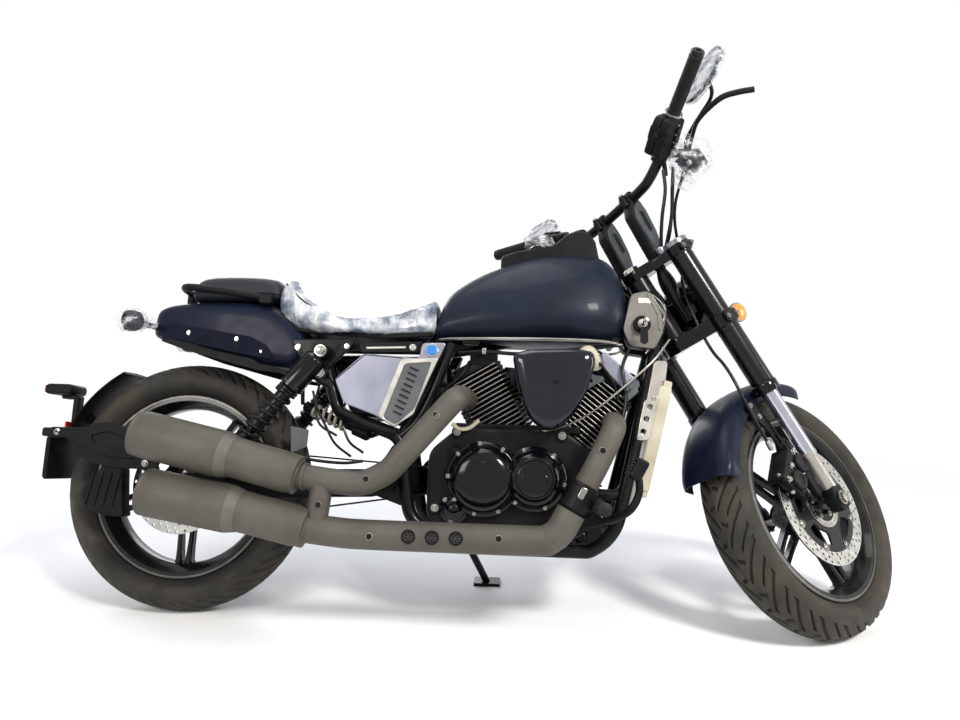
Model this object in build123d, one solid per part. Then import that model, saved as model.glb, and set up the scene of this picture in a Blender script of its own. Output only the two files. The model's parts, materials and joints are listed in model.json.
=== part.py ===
from build123d import *
from math import acos, atan2, cos, degrees, radians, sin, sqrt
import os

# A middleweight V-twin cruiser, parked: leaning on its side stand with the steering on its left stop.
# Everything on the chassis is drawn upright first: millimetres, X forward, Y to the rider's left,
# Z up, origin on the ground under the rear axle. The front end is drawn in steering coordinates:
# D forward of the steering axis, Y left, S up along the axis from where it meets the ground.
# At the end the front end is turned to its stop, and the whole machine is leaned and set down.

# ---- driving dimensions -------------------------------------------------------------------------
WHEELBASE = 1577
RAKE = 31.2                 # degrees, steering axis back from vertical
TRAIL = 113
STEER_LOCK = 39             # degrees each way from straight ahead
LEAN = 11                   # degrees to the left, on the side stand

REAR_TYRE = {"radius": 314, "half_width": 73, "crown": 80}
FRONT_TYRE = {"radius": 309, "half_width": 66, "crown": 72}
CROWN_SPAN = 50             # degrees of round tread each side of the middle
RIM_SEAT = 216              # 17 inch bead seat radius
RIM_LIP = 230
RIM_HALF = 44               # half the width between the flanges
LIP_WIDTH = 6
BEAD_GAP = 0.3

AXLE_R = 10
AXLE_BORE = 6               # the axles are hollow
RUNNING = 0.05              # radial clearance of a shaft in its bore
MOVING_GAP = 6              # least room left round anything that moves
SEAT_GAP = 0.3              # two pieces that rest on each other

HUB_R = 42
REAR_HUB_HALF = 64
FRONT_HUB_HALF = 60
SPOKE_PAIRS = 5
SPOKE_WIDTH = 15
SPOKE_DEPTH = 30
SPOKE_SPREAD_HUB = 17
SPOKE_SPREAD_RIM = 11
DISC_THICK = 5
DISC_BORE_R = 24
FRONT_DISC_R = 150
FRONT_DISC_Y = -66
REAR_DISC_R = 120
REAR_DISC_Y = -70
PULLEY_R = 92
PULLEY_Y = 86
BELT_WIDTH = 15
BELT_THICK = 5
FRONT_PULLEY_R = 34
FRONT_PULLEY = (590, 345)   # x, z

LEG_D = 69.5                # fork leg line ahead of the steering axis
LEG_Y = 110                 # half the spacing of the fork legs
LEG_OUTER_R = 29
LEG_SLIM_R = 20
LEG_COLLAR_R = 32
STEM_R = 13
HEAD_TUBE_R = 30
LOWER_YOKE = (818, 856)     # s from, to
TOP_YOKE = (1036, 1064)
YOKE_BOSS_R = 35            # the yokes' rings round the legs
BACKBONE_S = 934            # where the backbone meets the head tube
BAR_R = 14
BORE_GAP = 0.3              # round the bar in the parts clamped to it
BAR_HALF_WIDTH = 430
GRIP_R = 17
HOSE_R = 4

FRAME_TUBE_R = 16
HEADER_R = 27               # exhaust pipes from the cylinders
PIPE_R = 33                 # the lower pipe's heat shield
MUFFLER_R = 54
MUFFLER_NECK_R = 46
MUFFLER_BORE_R = 30
MUFFLER_BORE_DEPTH = 60

# ---- worked out from them -----------------------------------------------------------------------
SIN_RAKE = sin(radians(RAKE))
COS_RAKE = cos(radians(RAKE))
STEER_FOOT_X = WHEELBASE + TRAIL
AXLE_D = FRONT_TYRE["radius"] * SIN_RAKE - TRAIL * COS_RAKE
AXLE_S = FRONT_TYRE["radius"] * COS_RAKE + TRAIL * SIN_RAKE
STEER_PLANE = Plane(origin=(STEER_FOOT_X, 0, 0), x_dir=(COS_RAKE, 0, SIN_RAKE),
                    z_dir=(-SIN_RAKE, 0, COS_RAKE))


def steer_point(x, y, z):
    """A point given upright and straight ahead, in steering coordinates (d, y, s)."""
    run = x - STEER_FOOT_X
    return (run * COS_RAKE + z * SIN_RAKE, y, -run * SIN_RAKE + z * COS_RAKE)


# ---- shapes -------------------------------------------------------------------------------------
def rod(start, end, radius):
    """A round bar between two points."""
    start, end = Vector(start), Vector(end)
    plane = Plane(origin=start, z_dir=end - start)
    return extrude(plane * Circle(radius), amount=(end - start).length)


def tube(points, radius, bends):
    """A bent round bar through points, with one bend radius or one for each corner."""
    path = FilletPolyline(*points, radius=bends)
    section = Plane(origin=path @ 0, z_dir=path % 0) * Circle(radius)
    return sweep(section, path=path)


def side_plate(outline, y_low, y_high, corner=0):
    """An outline in x, z pushed from y_low to y_high, its corners rounded."""
    face = make_face(Polyline(*outline, close=True))
    if corner:
        face = fillet(face.vertices(), corner)
    return extrude(Plane.XZ.offset(-y_high) * face, amount=y_high - y_low)


def slab(outline, low, high, corner=0):
    """An outline in x, y (or d, y) pushed up from low to high."""
    face = make_face(Polyline(*outline, close=True))
    if corner:
        face = fillet(face.vertices(), corner)
    return extrude(Pos(0, 0, low) * face, amount=high - low)


def block(low, high, round_off=0):
    """A box between two corners, its upright edges rounded."""
    size = [b - a for a, b in zip(low, high)]
    centre = [(a + b) / 2 for a, b in zip(low, high)]
    solid = Pos(*centre) * Box(*size)
    if round_off:
        solid = fillet(solid.edges(), round_off)
    return solid


def hull_section(x, z_low, z_high, half_low, half_high, corner):
    """A rounded trapezium across the machine at x."""
    outline = [(-half_low, z_low), (half_low, z_low), (half_high, z_high), (-half_high, z_high)]
    face = fillet(make_face(Polyline(*outline, close=True)).vertices(), corner)
    return Plane(origin=(x, 0, 0), x_dir=(0, 1, 0), z_dir=(1, 0, 0)) * face


def body_of(stations, ruled=False):
    """A body through stations of x, z_low, z_high, half_low, half_high, corner."""
    return loft([hull_section(*station) for station in stations], ruled=ruled)


def both_sides(solid):
    """A piece and its mirror image on the other side."""
    return solid + mirror(solid, about=Plane.XZ)


# ---- wheels, drawn on the axle with the spindle along Y -------------------------------------------
def tyre(size):
    radius, half, crown = size["radius"], size["half_width"], size["crown"]
    centre = radius - crown
    edge_r = centre + crown * cos(radians(CROWN_SPAN))
    edge_y = crown * sin(radians(CROWN_SPAN))
    wall_r = (edge_r + RIM_LIP) / 2
    bead_r = RIM_LIP + 2
    bead_y = RIM_HALF + 1
    lines = [
        ThreePointArc((edge_r, -edge_y), (radius, 0), (edge_r, edge_y)),
        ThreePointArc((edge_r, edge_y), (wall_r, half), (bead_r, bead_y)),
        Line((bead_r, bead_y), (RIM_LIP, RIM_HALF - BEAD_GAP)),
        Line((RIM_LIP, RIM_HALF - BEAD_GAP), (RIM_SEAT, RIM_HALF - BEAD_GAP)),
        Line((RIM_SEAT, RIM_HALF - BEAD_GAP), (RIM_SEAT, BEAD_GAP - RIM_HALF)),
        Line((RIM_SEAT, BEAD_GAP - RIM_HALF), (RIM_LIP, BEAD_GAP - RIM_HALF)),
        Line((RIM_LIP, BEAD_GAP - RIM_HALF), (bead_r, -bead_y)),
        ThreePointArc((bead_r, -bead_y), (wall_r, -half), (edge_r, -edge_y)),
    ]
    return revolve(make_face(lines), axis=Axis.Y)


def rim(hub_half):
    barrel = [
        (RIM_SEAT, -RIM_HALF), (RIM_SEAT, RIM_HALF), (RIM_LIP, RIM_HALF),
        (RIM_LIP, RIM_HALF + LIP_WIDTH), (RIM_SEAT - 3, RIM_HALF + LIP_WIDTH),
        (RIM_SEAT - 8, RIM_HALF - 6), (RIM_SEAT - 20, 18),
        (RIM_SEAT - 20, -18), (RIM_SEAT - 8, 6 - RIM_HALF),
        (RIM_SEAT - 3, -RIM_HALF - LIP_WIDTH), (RIM_LIP, -RIM_HALF - LIP_WIDTH), (RIM_LIP, -RIM_HALF),
    ]
    ring = revolve(make_face(Polyline(*barrel, close=True)), axis=Axis.Y)
    hub = rod((0, -hub_half, 0), (0, hub_half, 0), HUB_R)
    wheel = ring + hub
    outer = RIM_SEAT - 12
    for pair in range(SPOKE_PAIRS):
        for side in (-1, 1):
            inner_z, outer_z = side * SPOKE_SPREAD_HUB, side * SPOKE_SPREAD_RIM
            half = SPOKE_WIDTH / 2
            outline = [(20, inner_z - half), (outer, outer_z - half),
                       (outer, outer_z + half), (20, inner_z + half)]
            spoke = side_plate(outline, -SPOKE_DEPTH / 2, SPOKE_DEPTH / 2)
            wheel += Rot(0, pair * 360 / SPOKE_PAIRS + 90, 0) * spoke
    return wheel - rod((0, -200, 0), (0, 200, 0), AXLE_R + RUNNING)


def brake_disc(radius, y_middle, hub_half):
    """A disc whose middle sits on the hub's end face."""
    inner = radius * 0.66
    disc = rod((0, y_middle - DISC_THICK / 2, 0), (0, y_middle + DISC_THICK / 2, 0), radius)
    if y_middle + DISC_THICK / 2 < -hub_half:
        disc += rod((0, y_middle + DISC_THICK / 2, 0), (0, -hub_half, 0), HUB_R - 2)
    for hole in range(8):
        centre = Rot(0, hole * 45, 0) * Pos(inner * 0.78, 0, 0)
        disc -= centre * Rot(90, 0, 0) * Cylinder(radius * 0.085, 60)
    return disc - rod((0, -200, 0), (0, 200, 0), DISC_BORE_R)


# ---- chassis, upright -----------------------------------------------------------------------------
chassis = {}

# Frame: head tube, backbone and seat rails
head_low, head_high = LOWER_YOKE[1] + SEAT_GAP, TOP_YOKE[0] - SEAT_GAP
head_tube = STEER_PLANE.location * rod((0, 0, head_low), (0, 0, head_high), HEAD_TUBE_R)
stem_bore = STEER_PLANE.location * rod((0, 0, head_low - 40), (0, 0, head_high + 40), STEM_R + RUNNING)
head_centre = STEER_PLANE.from_local_coords((0, 0, BACKBONE_S))
HEAD_X, HEAD_Z = head_centre.X, head_centre.Z
BACKBONE_R = 26
RAIL_Y = 92
RAIL_POINTS = [(690, 0, 690), (600, RAIL_Y, 672), (300, RAIL_Y, 668), (-40, 62, 706)]
backbone = tube([(HEAD_X, 0, HEAD_Z), (HEAD_X - 144, 0, HEAD_Z - 26), (620, 0, 684)], BACKBONE_R, 160)
rails = both_sides(tube(RAIL_POINTS, FRAME_TUBE_R - 4, [60, 160]))
cross_tube = rod((300, -RAIL_Y, 668), (300, RAIL_Y, 668), 10)
frame_backbone = backbone + head_tube + rails + cross_tube - stem_bore
chassis["frame_backbone"] = frame_backbone

# Cradle: two downtubes that run under the engine, up behind it and back to the seat rails
DOWN_Y = 62
CRADLE_Y = 110
DOWN_TOP = (HEAD_X - 28, HEAD_Z - 152)      # x, z of the knees of the downtubes
DOWN_FOOT = (1082, 232)
cradle_path = [(HEAD_X - 8, 26, HEAD_Z - 60), (DOWN_TOP[0], DOWN_Y, DOWN_TOP[1]),
               (DOWN_FOOT[0], CRADLE_Y, DOWN_FOOT[1]), (1020, CRADLE_Y, 196),
               (680, CRADLE_Y, 196), (590, CRADLE_Y, 262), (560, CRADLE_Y, 452), (404, CRADLE_Y, 506),
               (344, RAIL_Y, 668)]
CRADLE_BENDS = [60, 120, 30, 60, 70, 50, 40]
cradle = both_sides(tube(cradle_path, FRAME_TUBE_R, CRADLE_BENDS))
strut = both_sides(rod((558, CRADLE_Y, 446), (678, RAIL_Y, 688), FRAME_TUBE_R - 2))
engine_cross = rod((680, -CRADLE_Y, 196), (680, CRADLE_Y, 196), 12)
front_cross = rod((1050, -CRADLE_Y, 214), (1050, CRADLE_Y, 214), 12)


def down_x(z):
    """Where the downtubes pass a height."""
    share = (z - DOWN_FOOT[1]) / (DOWN_TOP[1] - DOWN_FOOT[1])
    return DOWN_FOOT[0] + share * (DOWN_TOP[0] - DOWN_FOOT[0])


PIVOT = (528, 341)
PLATE_Y = 105               # outer face of the pivot plates, where the swingarm begins
pivot_outline = [(500, 310), (570, 286), (584, 300), (576, 400), (560, 440), (540, 430), (500, 366)]
pivot_plates = both_sides(side_plate(pivot_outline, PLATE_Y - 11, PLATE_Y, 8))
pivot_tube = rod((PIVOT[0], -PLATE_Y, PIVOT[1]), (PIVOT[0], PLATE_Y, PIVOT[1]), 17)
STAND_PIVOT = (700, 146, 208)
chassis["frame_cradle"] = (cradle + strut + engine_cross + front_cross + pivot_plates + pivot_tube
                           - frame_backbone)

# Engine
CRANK = (885, 360)
CASE_HALF = 128
case_outline = [(632, 262), (700, 226), (1000, 226), (1046, 300),
                (1040, 420), (960, 478), (700, 478), (632, 420)]
case = side_plate(case_outline, -CASE_HALF, CASE_HALF, 22)
case -= both_sides(tube(cradle_path, FRAME_TUBE_R + 1, CRADLE_BENDS))
chassis["engine_case"] = case

# name, x, z, y inner, y outer, radius
ENGINE_COVERS = [
    ("clutch_cover", 767, 358, -CASE_HALF, -190, 88),
    ("crank_cover", 890, 362, -CASE_HALF, -184, 70),
    ("alternator_cover", 885, 360, CASE_HALF, 184, 92),
    ("pulley_cover", 640, 352, CASE_HALF, 168, 62),
]
covers = Part()
for name, x, z, y_inner, y_outer, radius in ENGINE_COVERS:
    disc = rod((x, y_inner, z), (x, y_outer, z), radius)
    covers += chamfer(disc.edges().sort_by(Axis.Y)[0 if y_outer < 0 else -1], 9)
chassis["engine_covers"] = covers

# Cylinders: lean from upright in degrees (forward is positive)
CYLINDERS = [("rear", -31), ("front", 38)]
CYL_HALF = 76
CYL_START = 108
HEAD_TOP = 330
FIN_COUNT = 9
cylinders = Part()
for name, lean in CYLINDERS:
    fins = Pos(0, 0, (CYL_START + HEAD_TOP) / 2) * Box(118, 118, HEAD_TOP - CYL_START)
    for index in range(FIN_COUNT):
        height = CYL_START + 26 + index * 20
        fins += Pos(0, 0, height) * Box(2 * CYL_HALF, 2 * CYL_HALF, 7)
    head = fillet((Pos(0, 0, HEAD_TOP - 20) * Box(140, 150, 40)).edges(), 8)
    one = Pos(CRANK[0], 0, CRANK[1]) * Rot(0, lean, 0) * (fins + head)
    cylinders += one - case
chassis["cylinders"] = cylinders - chassis["frame_backbone"] - chassis["frame_cradle"]

# Air cleaner between the cylinders on the right: an oval box and its shield-shaped cover
AC_OUTLINE = [(826, 652), (870, 662), (972, 667), (1018, 658), (1022, 634), (1002, 567), (974, 510),
              (940, 478), (906, 474), (872, 500), (846, 556)]
ac_body = side_plate([(850, 640), (1000, 640), (970, 540), (925, 500), (880, 540)], -176, -60, 14)
ac_cover = side_plate(AC_OUTLINE, -232, -176, 10)
chassis["air_cleaner"] = (ac_cover + ac_body) - chassis["cylinders"]

# Tank, console, seats and tail: x, z_low, z_high, half_low, half_high, corner
TANK = [
    (628, 706, 752, 66, 40, 14),
    (690, 704, 862, 96, 52, 34),
    (790, 702, 922, 126, 64, 44),
    (920, 702, 948, 138, 70, 50),
    (HEAD_X - 164, 704, 945, 128, 64, 50),
    (HEAD_X - 114, 716, 898, 102, 48, 38),
    (HEAD_X - 86, 756, 822, 60, 42, 26),
]
TUNNEL_TOP = HEAD_Z + 12
TUNNEL_NOSE = HEAD_X - 44
tunnel = side_plate([(600, 640), (TUNNEL_NOSE, 640), (TUNNEL_NOSE, TUNNEL_TOP + 18),
                     (TUNNEL_NOSE - 100, TUNNEL_TOP), (600, 718)], -36, 36)
tank = body_of(TANK) - tunnel
chassis["fuel_tank"] = tank

CONSOLE = [(800, 900), (1050, 900), (1050, 962), (1028, 1002), (1004, 1015), (976, 1012), (946, 984),
           (920, 974), (800, 942)]
chassis["instrument_console"] = side_plate(CONSOLE, -36, 36, 5) - tank

SEAT = [
    (226, 800, 842, 96, 84, 12),
    (250, 742, 856, 120, 94, 22),
    (292, 716, 812, 136, 112, 26),
    (360, 704, 768, 144, 130, 26),
    (440, 700, 752, 138, 122, 22),
    (520, 698, 768, 120, 96, 22),
    (590, 698, 798, 96, 64, 20),
    (622, 716, 812, 80, 52, 16),
]
TAIL = [
    (-112, 690, 764, 70, 60, 14),
    (-60, 680, 782, 88, 80, 16),
    (60, 650, 786, 112, 104, 18),
    (190, 622, 780, 124, 112, 18),
    (270, 614, 740, 126, 114, 18),
    (300, 640, 704, 126, 118, 14),
]
ARCH_HALF = REAR_TYRE["half_width"] + 12
wheel_arch = rod((0, -ARCH_HALF, REAR_TYRE["radius"]), (0, ARCH_HALF, REAR_TYRE["radius"]),
                 REAR_TYRE["radius"] + 26)
rail_channel = both_sides(tube(RAIL_POINTS, FRAME_TUBE_R - 4 + SEAT_GAP, [60, 160])) + cross_tube
tail = body_of(TAIL) - wheel_arch - rail_channel
PILLION = [
    (-12, 790, 828, 74, 56, 12),
    (20, 786, 854, 98, 84, 20),
    (120, 786, 862, 106, 92, 22),
    (208, 786, 852, 104, 90, 20),
    (226, 792, 830, 96, 84, 12),
]
chassis["tail_cowl"] = tail
pillion = body_of(PILLION) - tail
seat = body_of(SEAT) - tail - tank - chassis["frame_backbone"] - rail_channel - pillion
chassis["rider_seat"] = seat
chassis["pillion_pad"] = pillion
GRAB_R = 9
grab_path = [(196, 112, 790), (40, 110, 812), (-34, 78, 820), (-46, 0, 822),
             (-34, -78, 820), (40, -110, 812), (196, -112, 790)]
grab = tube(grab_path, GRAB_R, [60, 34, 34, 34, 60])
grab_feet = both_sides(block((176, 100, 776), (214, 122, 800))) + block((-56, -16, 770), (-36, 16, 822))
chassis["grab_rail"] = grab + grab_feet - tail - pillion

# Side covers below the seat
COVER_Y = 128
COVER_THICK = 18
SIDE_COVER = [(398, 586), (470, 650), (556, 644), (606, 682),
              (668, 682), (560, 478), (500, 508), (420, 538)]
side_cover = both_sides(side_plate(SIDE_COVER, COVER_Y, COVER_Y + COVER_THICK, 8))
cover_pegs = both_sides(rod((470, 84, 600), (470, COVER_Y, 600), 8)
                        + rod((600, 84, 640), (600, COVER_Y, 640), 8))
battery_box = block((430, -84, 500), (650, 84, 655), 10)
chassis["side_covers"] = side_cover + cover_pegs - battery_box
chassis["battery_box"] = (battery_box - chassis["frame_backbone"] - chassis["frame_cradle"]
                          - chassis["cylinders"])

# Radiator between the downtubes and the front wheel, and the covers over the downtubes
RADIATOR_Z = 470
RADIATOR_AHEAD = 42
lean_back = degrees(atan2(DOWN_TOP[0] - DOWN_FOOT[0], DOWN_TOP[1] - DOWN_FOOT[1]))
radiator_place = Pos(down_x(RADIATOR_Z) + RADIATOR_AHEAD, 0, RADIATOR_Z) * Rot(0, lean_back, 0)
radiator = radiator_place * Box(34, 190, 300)
chassis["radiator"] = radiator - chassis["frame_cradle"] - chassis["cylinders"]
# height, and how far the cover reaches behind and ahead of the downtube's middle
SHROUD = [(662, 0, 34), (560, 4, 44), (470, 10, 46), (306, 4, 31)]
shroud_outline = ([(down_x(z) + ahead, z) for z, behind, ahead in SHROUD]
                  + [(down_x(z) + behind, z) for z, behind, ahead in reversed(SHROUD)])
SHROUD_Y = DOWN_Y + 20
shroud = both_sides(side_plate(shroud_outline, SHROUD_Y, SHROUD_Y + 8, 5))
shroud -= both_sides(tube(cradle_path, FRAME_TUBE_R + SEAT_GAP, CRADLE_BENDS))
chassis["radiator_covers"] = shroud - chassis["radiator"]
# ahead of and above the middle of the head tube
HEAD_COVER = [(-80, 32), (-36, 42), (-2, -20), (2, -62), (-20, -110), (-82, -102), (-100, -62)]
head_outline = [(HEAD_X + ahead, HEAD_Z + above) for ahead, above in HEAD_COVER]
head_cover = both_sides(side_plate(head_outline, 30, 74, 10))
LOCK = (HEAD_X - 54, HEAD_Z - 48)
lock_place = rod((LOCK[0], -74, LOCK[1]), (LOCK[0], -92, LOCK[1]), 22)
chassis["head_side_covers"] = (head_cover + lock_place - chassis["frame_backbone"] - chassis["frame_cradle"]
                               - chassis["fuel_tank"] - chassis["radiator_covers"])

# Swingarm, shocks and rear axle
ARM_Y = 118
ARM_HALF = 13
AXLE_Z = REAR_TYRE["radius"]
arm_outline = [(-44, AXLE_Z - 22), (40, AXLE_Z - 28), (500, PIVOT[1] - 35), (550, PIVOT[1] - 25),
               (550, PIVOT[1] + 25), (500, PIVOT[1] + 31), (160, AXLE_Z + 48), (40, AXLE_Z + 32),
               (-44, AXLE_Z + 22)]
arms = both_sides(side_plate(arm_outline, ARM_Y - ARM_HALF, ARM_Y + ARM_HALF, 10))
axle_hole = rod((0, -200, AXLE_Z), (0, 200, AXLE_Z), AXLE_R)

SHOCK_Y = ARM_Y + ARM_HALF + 21
SHOCK_TOP = (362, SHOCK_Y, 652)
SHOCK_FOOT = (132, SHOCK_Y, AXLE_Z + 52)
shock_axis = Vector(SHOCK_FOOT) - Vector(SHOCK_TOP)
shock_dir = shock_axis.normalized()


def along_shock(distance):
    return Vector(SHOCK_TOP) + shock_dir * distance


SHOCK_LENGTH = shock_axis.length
spring = rod(along_shock(118), along_shock(SHOCK_LENGTH - 42), 25)
shock_body = rod(along_shock(16), along_shock(118), 29)
shock_rod = rod(along_shock(SHOCK_LENGTH - 42), along_shock(SHOCK_LENGTH), 12)
shock_eyes = (rod((SHOCK_TOP[0], RAIL_Y + 12, SHOCK_TOP[2]), (SHOCK_TOP[0], SHOCK_Y + 20, SHOCK_TOP[2]), 17)
              + rod((SHOCK_FOOT[0], ARM_Y + ARM_HALF, SHOCK_FOOT[2]),
                     (SHOCK_FOOT[0], SHOCK_Y + 18, SHOCK_FOOT[2]), 17))
shock_lug = rod((SHOCK_FOOT[0], ARM_Y - 4, SHOCK_FOOT[2] - 16),
                (SHOCK_FOOT[0], ARM_Y + 4, SHOCK_FOOT[2] - 16), 20)
shock = both_sides(spring + shock_body + shock_rod + shock_eyes)
chassis["swingarm"] = arms + both_sides(shock_lug) - axle_hole - chassis["frame_cradle"]
chassis["swingarm_bridge"] = block((392, ARM_HALF - ARM_Y, 306), (440, ARM_Y - ARM_HALF, 360), 6)
chassis["shock_absorbers"] = (shock - chassis["swingarm"] - chassis["frame_backbone"]
                              - chassis["frame_cradle"])

AXLE_END = ARM_Y + ARM_HALF + 18
axle = rod((0, -AXLE_END, 0), (0, AXLE_END, 0), AXLE_R)
nuts = both_sides(rod((0, ARM_Y + ARM_HALF, 0), (0, AXLE_END - 4, 0), 19))
rear_spacer_left = rod((0, PULLEY_Y + 12, 0), (0, ARM_Y - ARM_HALF, 0), 17)
rear_spacer_right = rod((0, REAR_DISC_Y - 4, 0), (0, ARM_HALF - ARM_Y, 0), 15)
rear_bore = rod((0, -AXLE_END - 1, 0), (0, AXLE_END + 1, 0), AXLE_BORE)
chassis["rear_axle"] = Pos(0, 0, AXLE_Z) * (axle + nuts + rear_spacer_left + rear_spacer_right - rear_bore)

# Final drive: a fixed belt loop round both pulleys
belt_inner_rear = PULLEY_R + MOVING_GAP
rear_pulley_x, rear_pulley_z = 0, AXLE_Z


def belt_loop(grow):
    """The loop's filled outline in x, z, grown outwards from the belt's inner face."""
    big, small = belt_inner_rear + grow, FRONT_PULLEY_R + grow
    span = sqrt((FRONT_PULLEY[0] - rear_pulley_x) ** 2 + (FRONT_PULLEY[1] - rear_pulley_z) ** 2)
    slope = atan2(FRONT_PULLEY[1] - rear_pulley_z, FRONT_PULLEY[0] - rear_pulley_x)
    open_angle = acos((big - small) / span)
    corners = []
    for angle in (slope + open_angle, slope - open_angle):
        corners.append((rear_pulley_x + big * cos(angle), rear_pulley_z + big * sin(angle)))
        corners.append((FRONT_PULLEY[0] + small * cos(angle), FRONT_PULLEY[1] + small * sin(angle)))
    top_rear, top_front, low_rear, low_front = corners
    inner_y, outer_y = PULLEY_Y - BELT_WIDTH / 2, PULLEY_Y + BELT_WIDTH / 2
    filled = side_plate([top_rear, top_front, low_front, low_rear], inner_y, outer_y)
    for centre, radius in (((rear_pulley_x, rear_pulley_z), big), (FRONT_PULLEY, small)):
        filled += rod((centre[0], inner_y, centre[1]), (centre[0], outer_y, centre[1]), radius)
    return filled


chassis["drive_belt"] = belt_loop(BELT_THICK) - belt_loop(0)

# Exhaust: one pipe from each cylinder, each into its own muffler
MUFFLER_Y = -(SHOCK_Y + 84)
UPPER_AXIS = [(-33, 437), (200, 388), (352, 352)]     # x, z of tail end, middle and neck end
LOWER_AXIS = [(-2, 304), (228, 268), (380, 236)]
SHIELD_TOP = (972, MUFFLER_Y, 302)
front_header = tube([(1080, -70, 506), (1062, MUFFLER_Y + 6, 484), (1024, MUFFLER_Y, 398), SHIELD_TOP],
                    HEADER_R, [34, 60])
front_pipe = tube([SHIELD_TOP, (932, MUFFLER_Y, 228), (500, MUFFLER_Y, 228),
                   (LOWER_AXIS[2][0] - 2, MUFFLER_Y, LOWER_AXIS[2][1])], PIPE_R, [70, 200])
rear_pipe = tube([(716, -56, 551), (706, MUFFLER_Y + 6, 546), (560, MUFFLER_Y, 372), (500, MUFFLER_Y, 336),
                  (UPPER_AXIS[2][0] - 2, MUFFLER_Y, UPPER_AXIS[2][1])], HEADER_R + 1, [34, 60, 60])
link_pipe = rod((406, MUFFLER_Y, 336), (406, MUFFLER_Y, 240), 25)
exhaust_pipes = front_header + front_pipe + rear_pipe + link_pipe


def muffler(axis):
    """A can with a stepped neck, open at its tail."""
    tail_end, step, neck_end = [Vector(x, MUFFLER_Y, z) for x, z in axis]
    run = (neck_end - tail_end).normalized()
    can = rod(tail_end, step, MUFFLER_R)
    can = chamfer(can.edges().sort_by(Axis.X)[0], 4)
    neck = rod(step, neck_end, MUFFLER_NECK_R)
    bore = rod(tail_end - run * 5, tail_end + run * MUFFLER_BORE_DEPTH, MUFFLER_BORE_R)
    return can + neck - bore


mufflers = muffler(UPPER_AXIS) + muffler(LOWER_AXIS)
exhaust_pipes = (exhaust_pipes - mufflers - chassis["cylinders"] - chassis["engine_case"]
                 - chassis["engine_covers"])
chassis["exhaust_pipes"] = exhaust_pipes
chassis["mufflers"] = mufflers
stay = block((532, MUFFLER_Y + 14, 334), (560, -96, 358)) - chassis["exhaust_pipes"]
chassis["exhaust_stay"] = stay - chassis["frame_cradle"] - chassis["swingarm"]

# Rear end carried by the swingarm: a blade on the right, a short guard over the tyre, plate and lamps
BLADE_Y = ARM_Y + ARM_HALF
# outlines in x and height above the axle
BLADE = [(-312, 134), (-216, 134), (-190, 148), (-160, 152), (-115, 138), (-36, 70), (-18, 26), (-42, -10),
         (-60, 38), (-130, 38), (-190, 48), (-245, 70), (-262, 108), (-312, 108)]
SPLASH_GUARD = [(-218, -31), (-208, 7), (-180, 31), (-164, 51), (-119, 42), (-110, -53), (-102, -79),
                (-157, -76), (-192, -64)]
blade = side_plate(BLADE, -BLADE_Y - 8, -BLADE_Y)
splash_guard = side_plate(SPLASH_GUARD, -BLADE_Y, -BLADE_Y + 37, 8)
neck = block((-330, -BLADE_Y - 8, 110), (-306, 60, 132))
PLATE_X = -344
PLATE_LOW, PLATE_HIGH = 4, 116
plate_back = (block((PLATE_X, -92, PLATE_LOW), (PLATE_X + 8, 92, PLATE_HIGH))
              + block((PLATE_X, -50, 110), (-306, 50, 132)))
lamp_arm = block((-340, -14, 126), (-326, 14, 222))
GUARD_WALL = 5
GUARD_HALF = REAR_TYRE["half_width"] - 3
GUARD_FROM, GUARD_TO = 122, 156           # degrees up from straight ahead
guard_r = REAR_TYRE["radius"] + 16
guard_face = make_face(Polyline((guard_r, -GUARD_HALF), (guard_r + GUARD_WALL, -GUARD_HALF),
                                (guard_r + GUARD_WALL, GUARD_HALF), (guard_r, GUARD_HALF), close=True))
guard = Rot(0, -GUARD_TO, 0) * revolve(guard_face, axis=Axis.Y, revolution_arc=GUARD_TO - GUARD_FROM)
guard_web = (block((-330, -14, 148), (-250, 14, 168))
             - rod((0, -20, 0), (0, 20, 0), guard_r + GUARD_WALL))
tail_lamp = block((-408, -36, 222), (-326, 36, 252), 8)
licence_plate = block((PLATE_X - 3, -90, PLATE_LOW + 2), (PLATE_X, 90, PLATE_HIGH - 4))
axle_place = Pos(0, 0, AXLE_Z)
chassis["plate_bracket"] = (axle_place * (blade + splash_guard + neck + plate_back + lamp_arm + guard_web)
                            - chassis["swingarm"] - chassis["rear_axle"])
chassis["rear_hugger"] = axle_place * guard - chassis["plate_bracket"]
chassis["licence_plate"] = axle_place * licence_plate
signal_stalk = rod((-100, 60, 716), (-128, 150, 716), 9)
signal_head = rod((-140, 158, 716), (-100, 158, 716), 26)
chassis["rear_lamps"] = (both_sides(signal_stalk + signal_head) - tail
                         + (axle_place * tail_lamp - chassis["plate_bracket"] - chassis["rear_hugger"]))

disc_room = rod((0, REAR_DISC_Y - 8, AXLE_Z), (0, REAR_DISC_Y + 8, AXLE_Z), REAR_DISC_R + MOVING_GAP)
caliper_block = block((40, -ARM_Y + ARM_HALF, AXLE_Z + 52), (120, REAR_DISC_Y + 24, AXLE_Z + 122), 8)
caliper_hanger = block((60, -ARM_Y - 4, AXLE_Z + 16), (100, -ARM_Y + ARM_HALF + 12, AXLE_Z + 78))
chassis["rear_caliper"] = caliper_block + caliper_hanger - disc_room - chassis["swingarm"]

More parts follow.
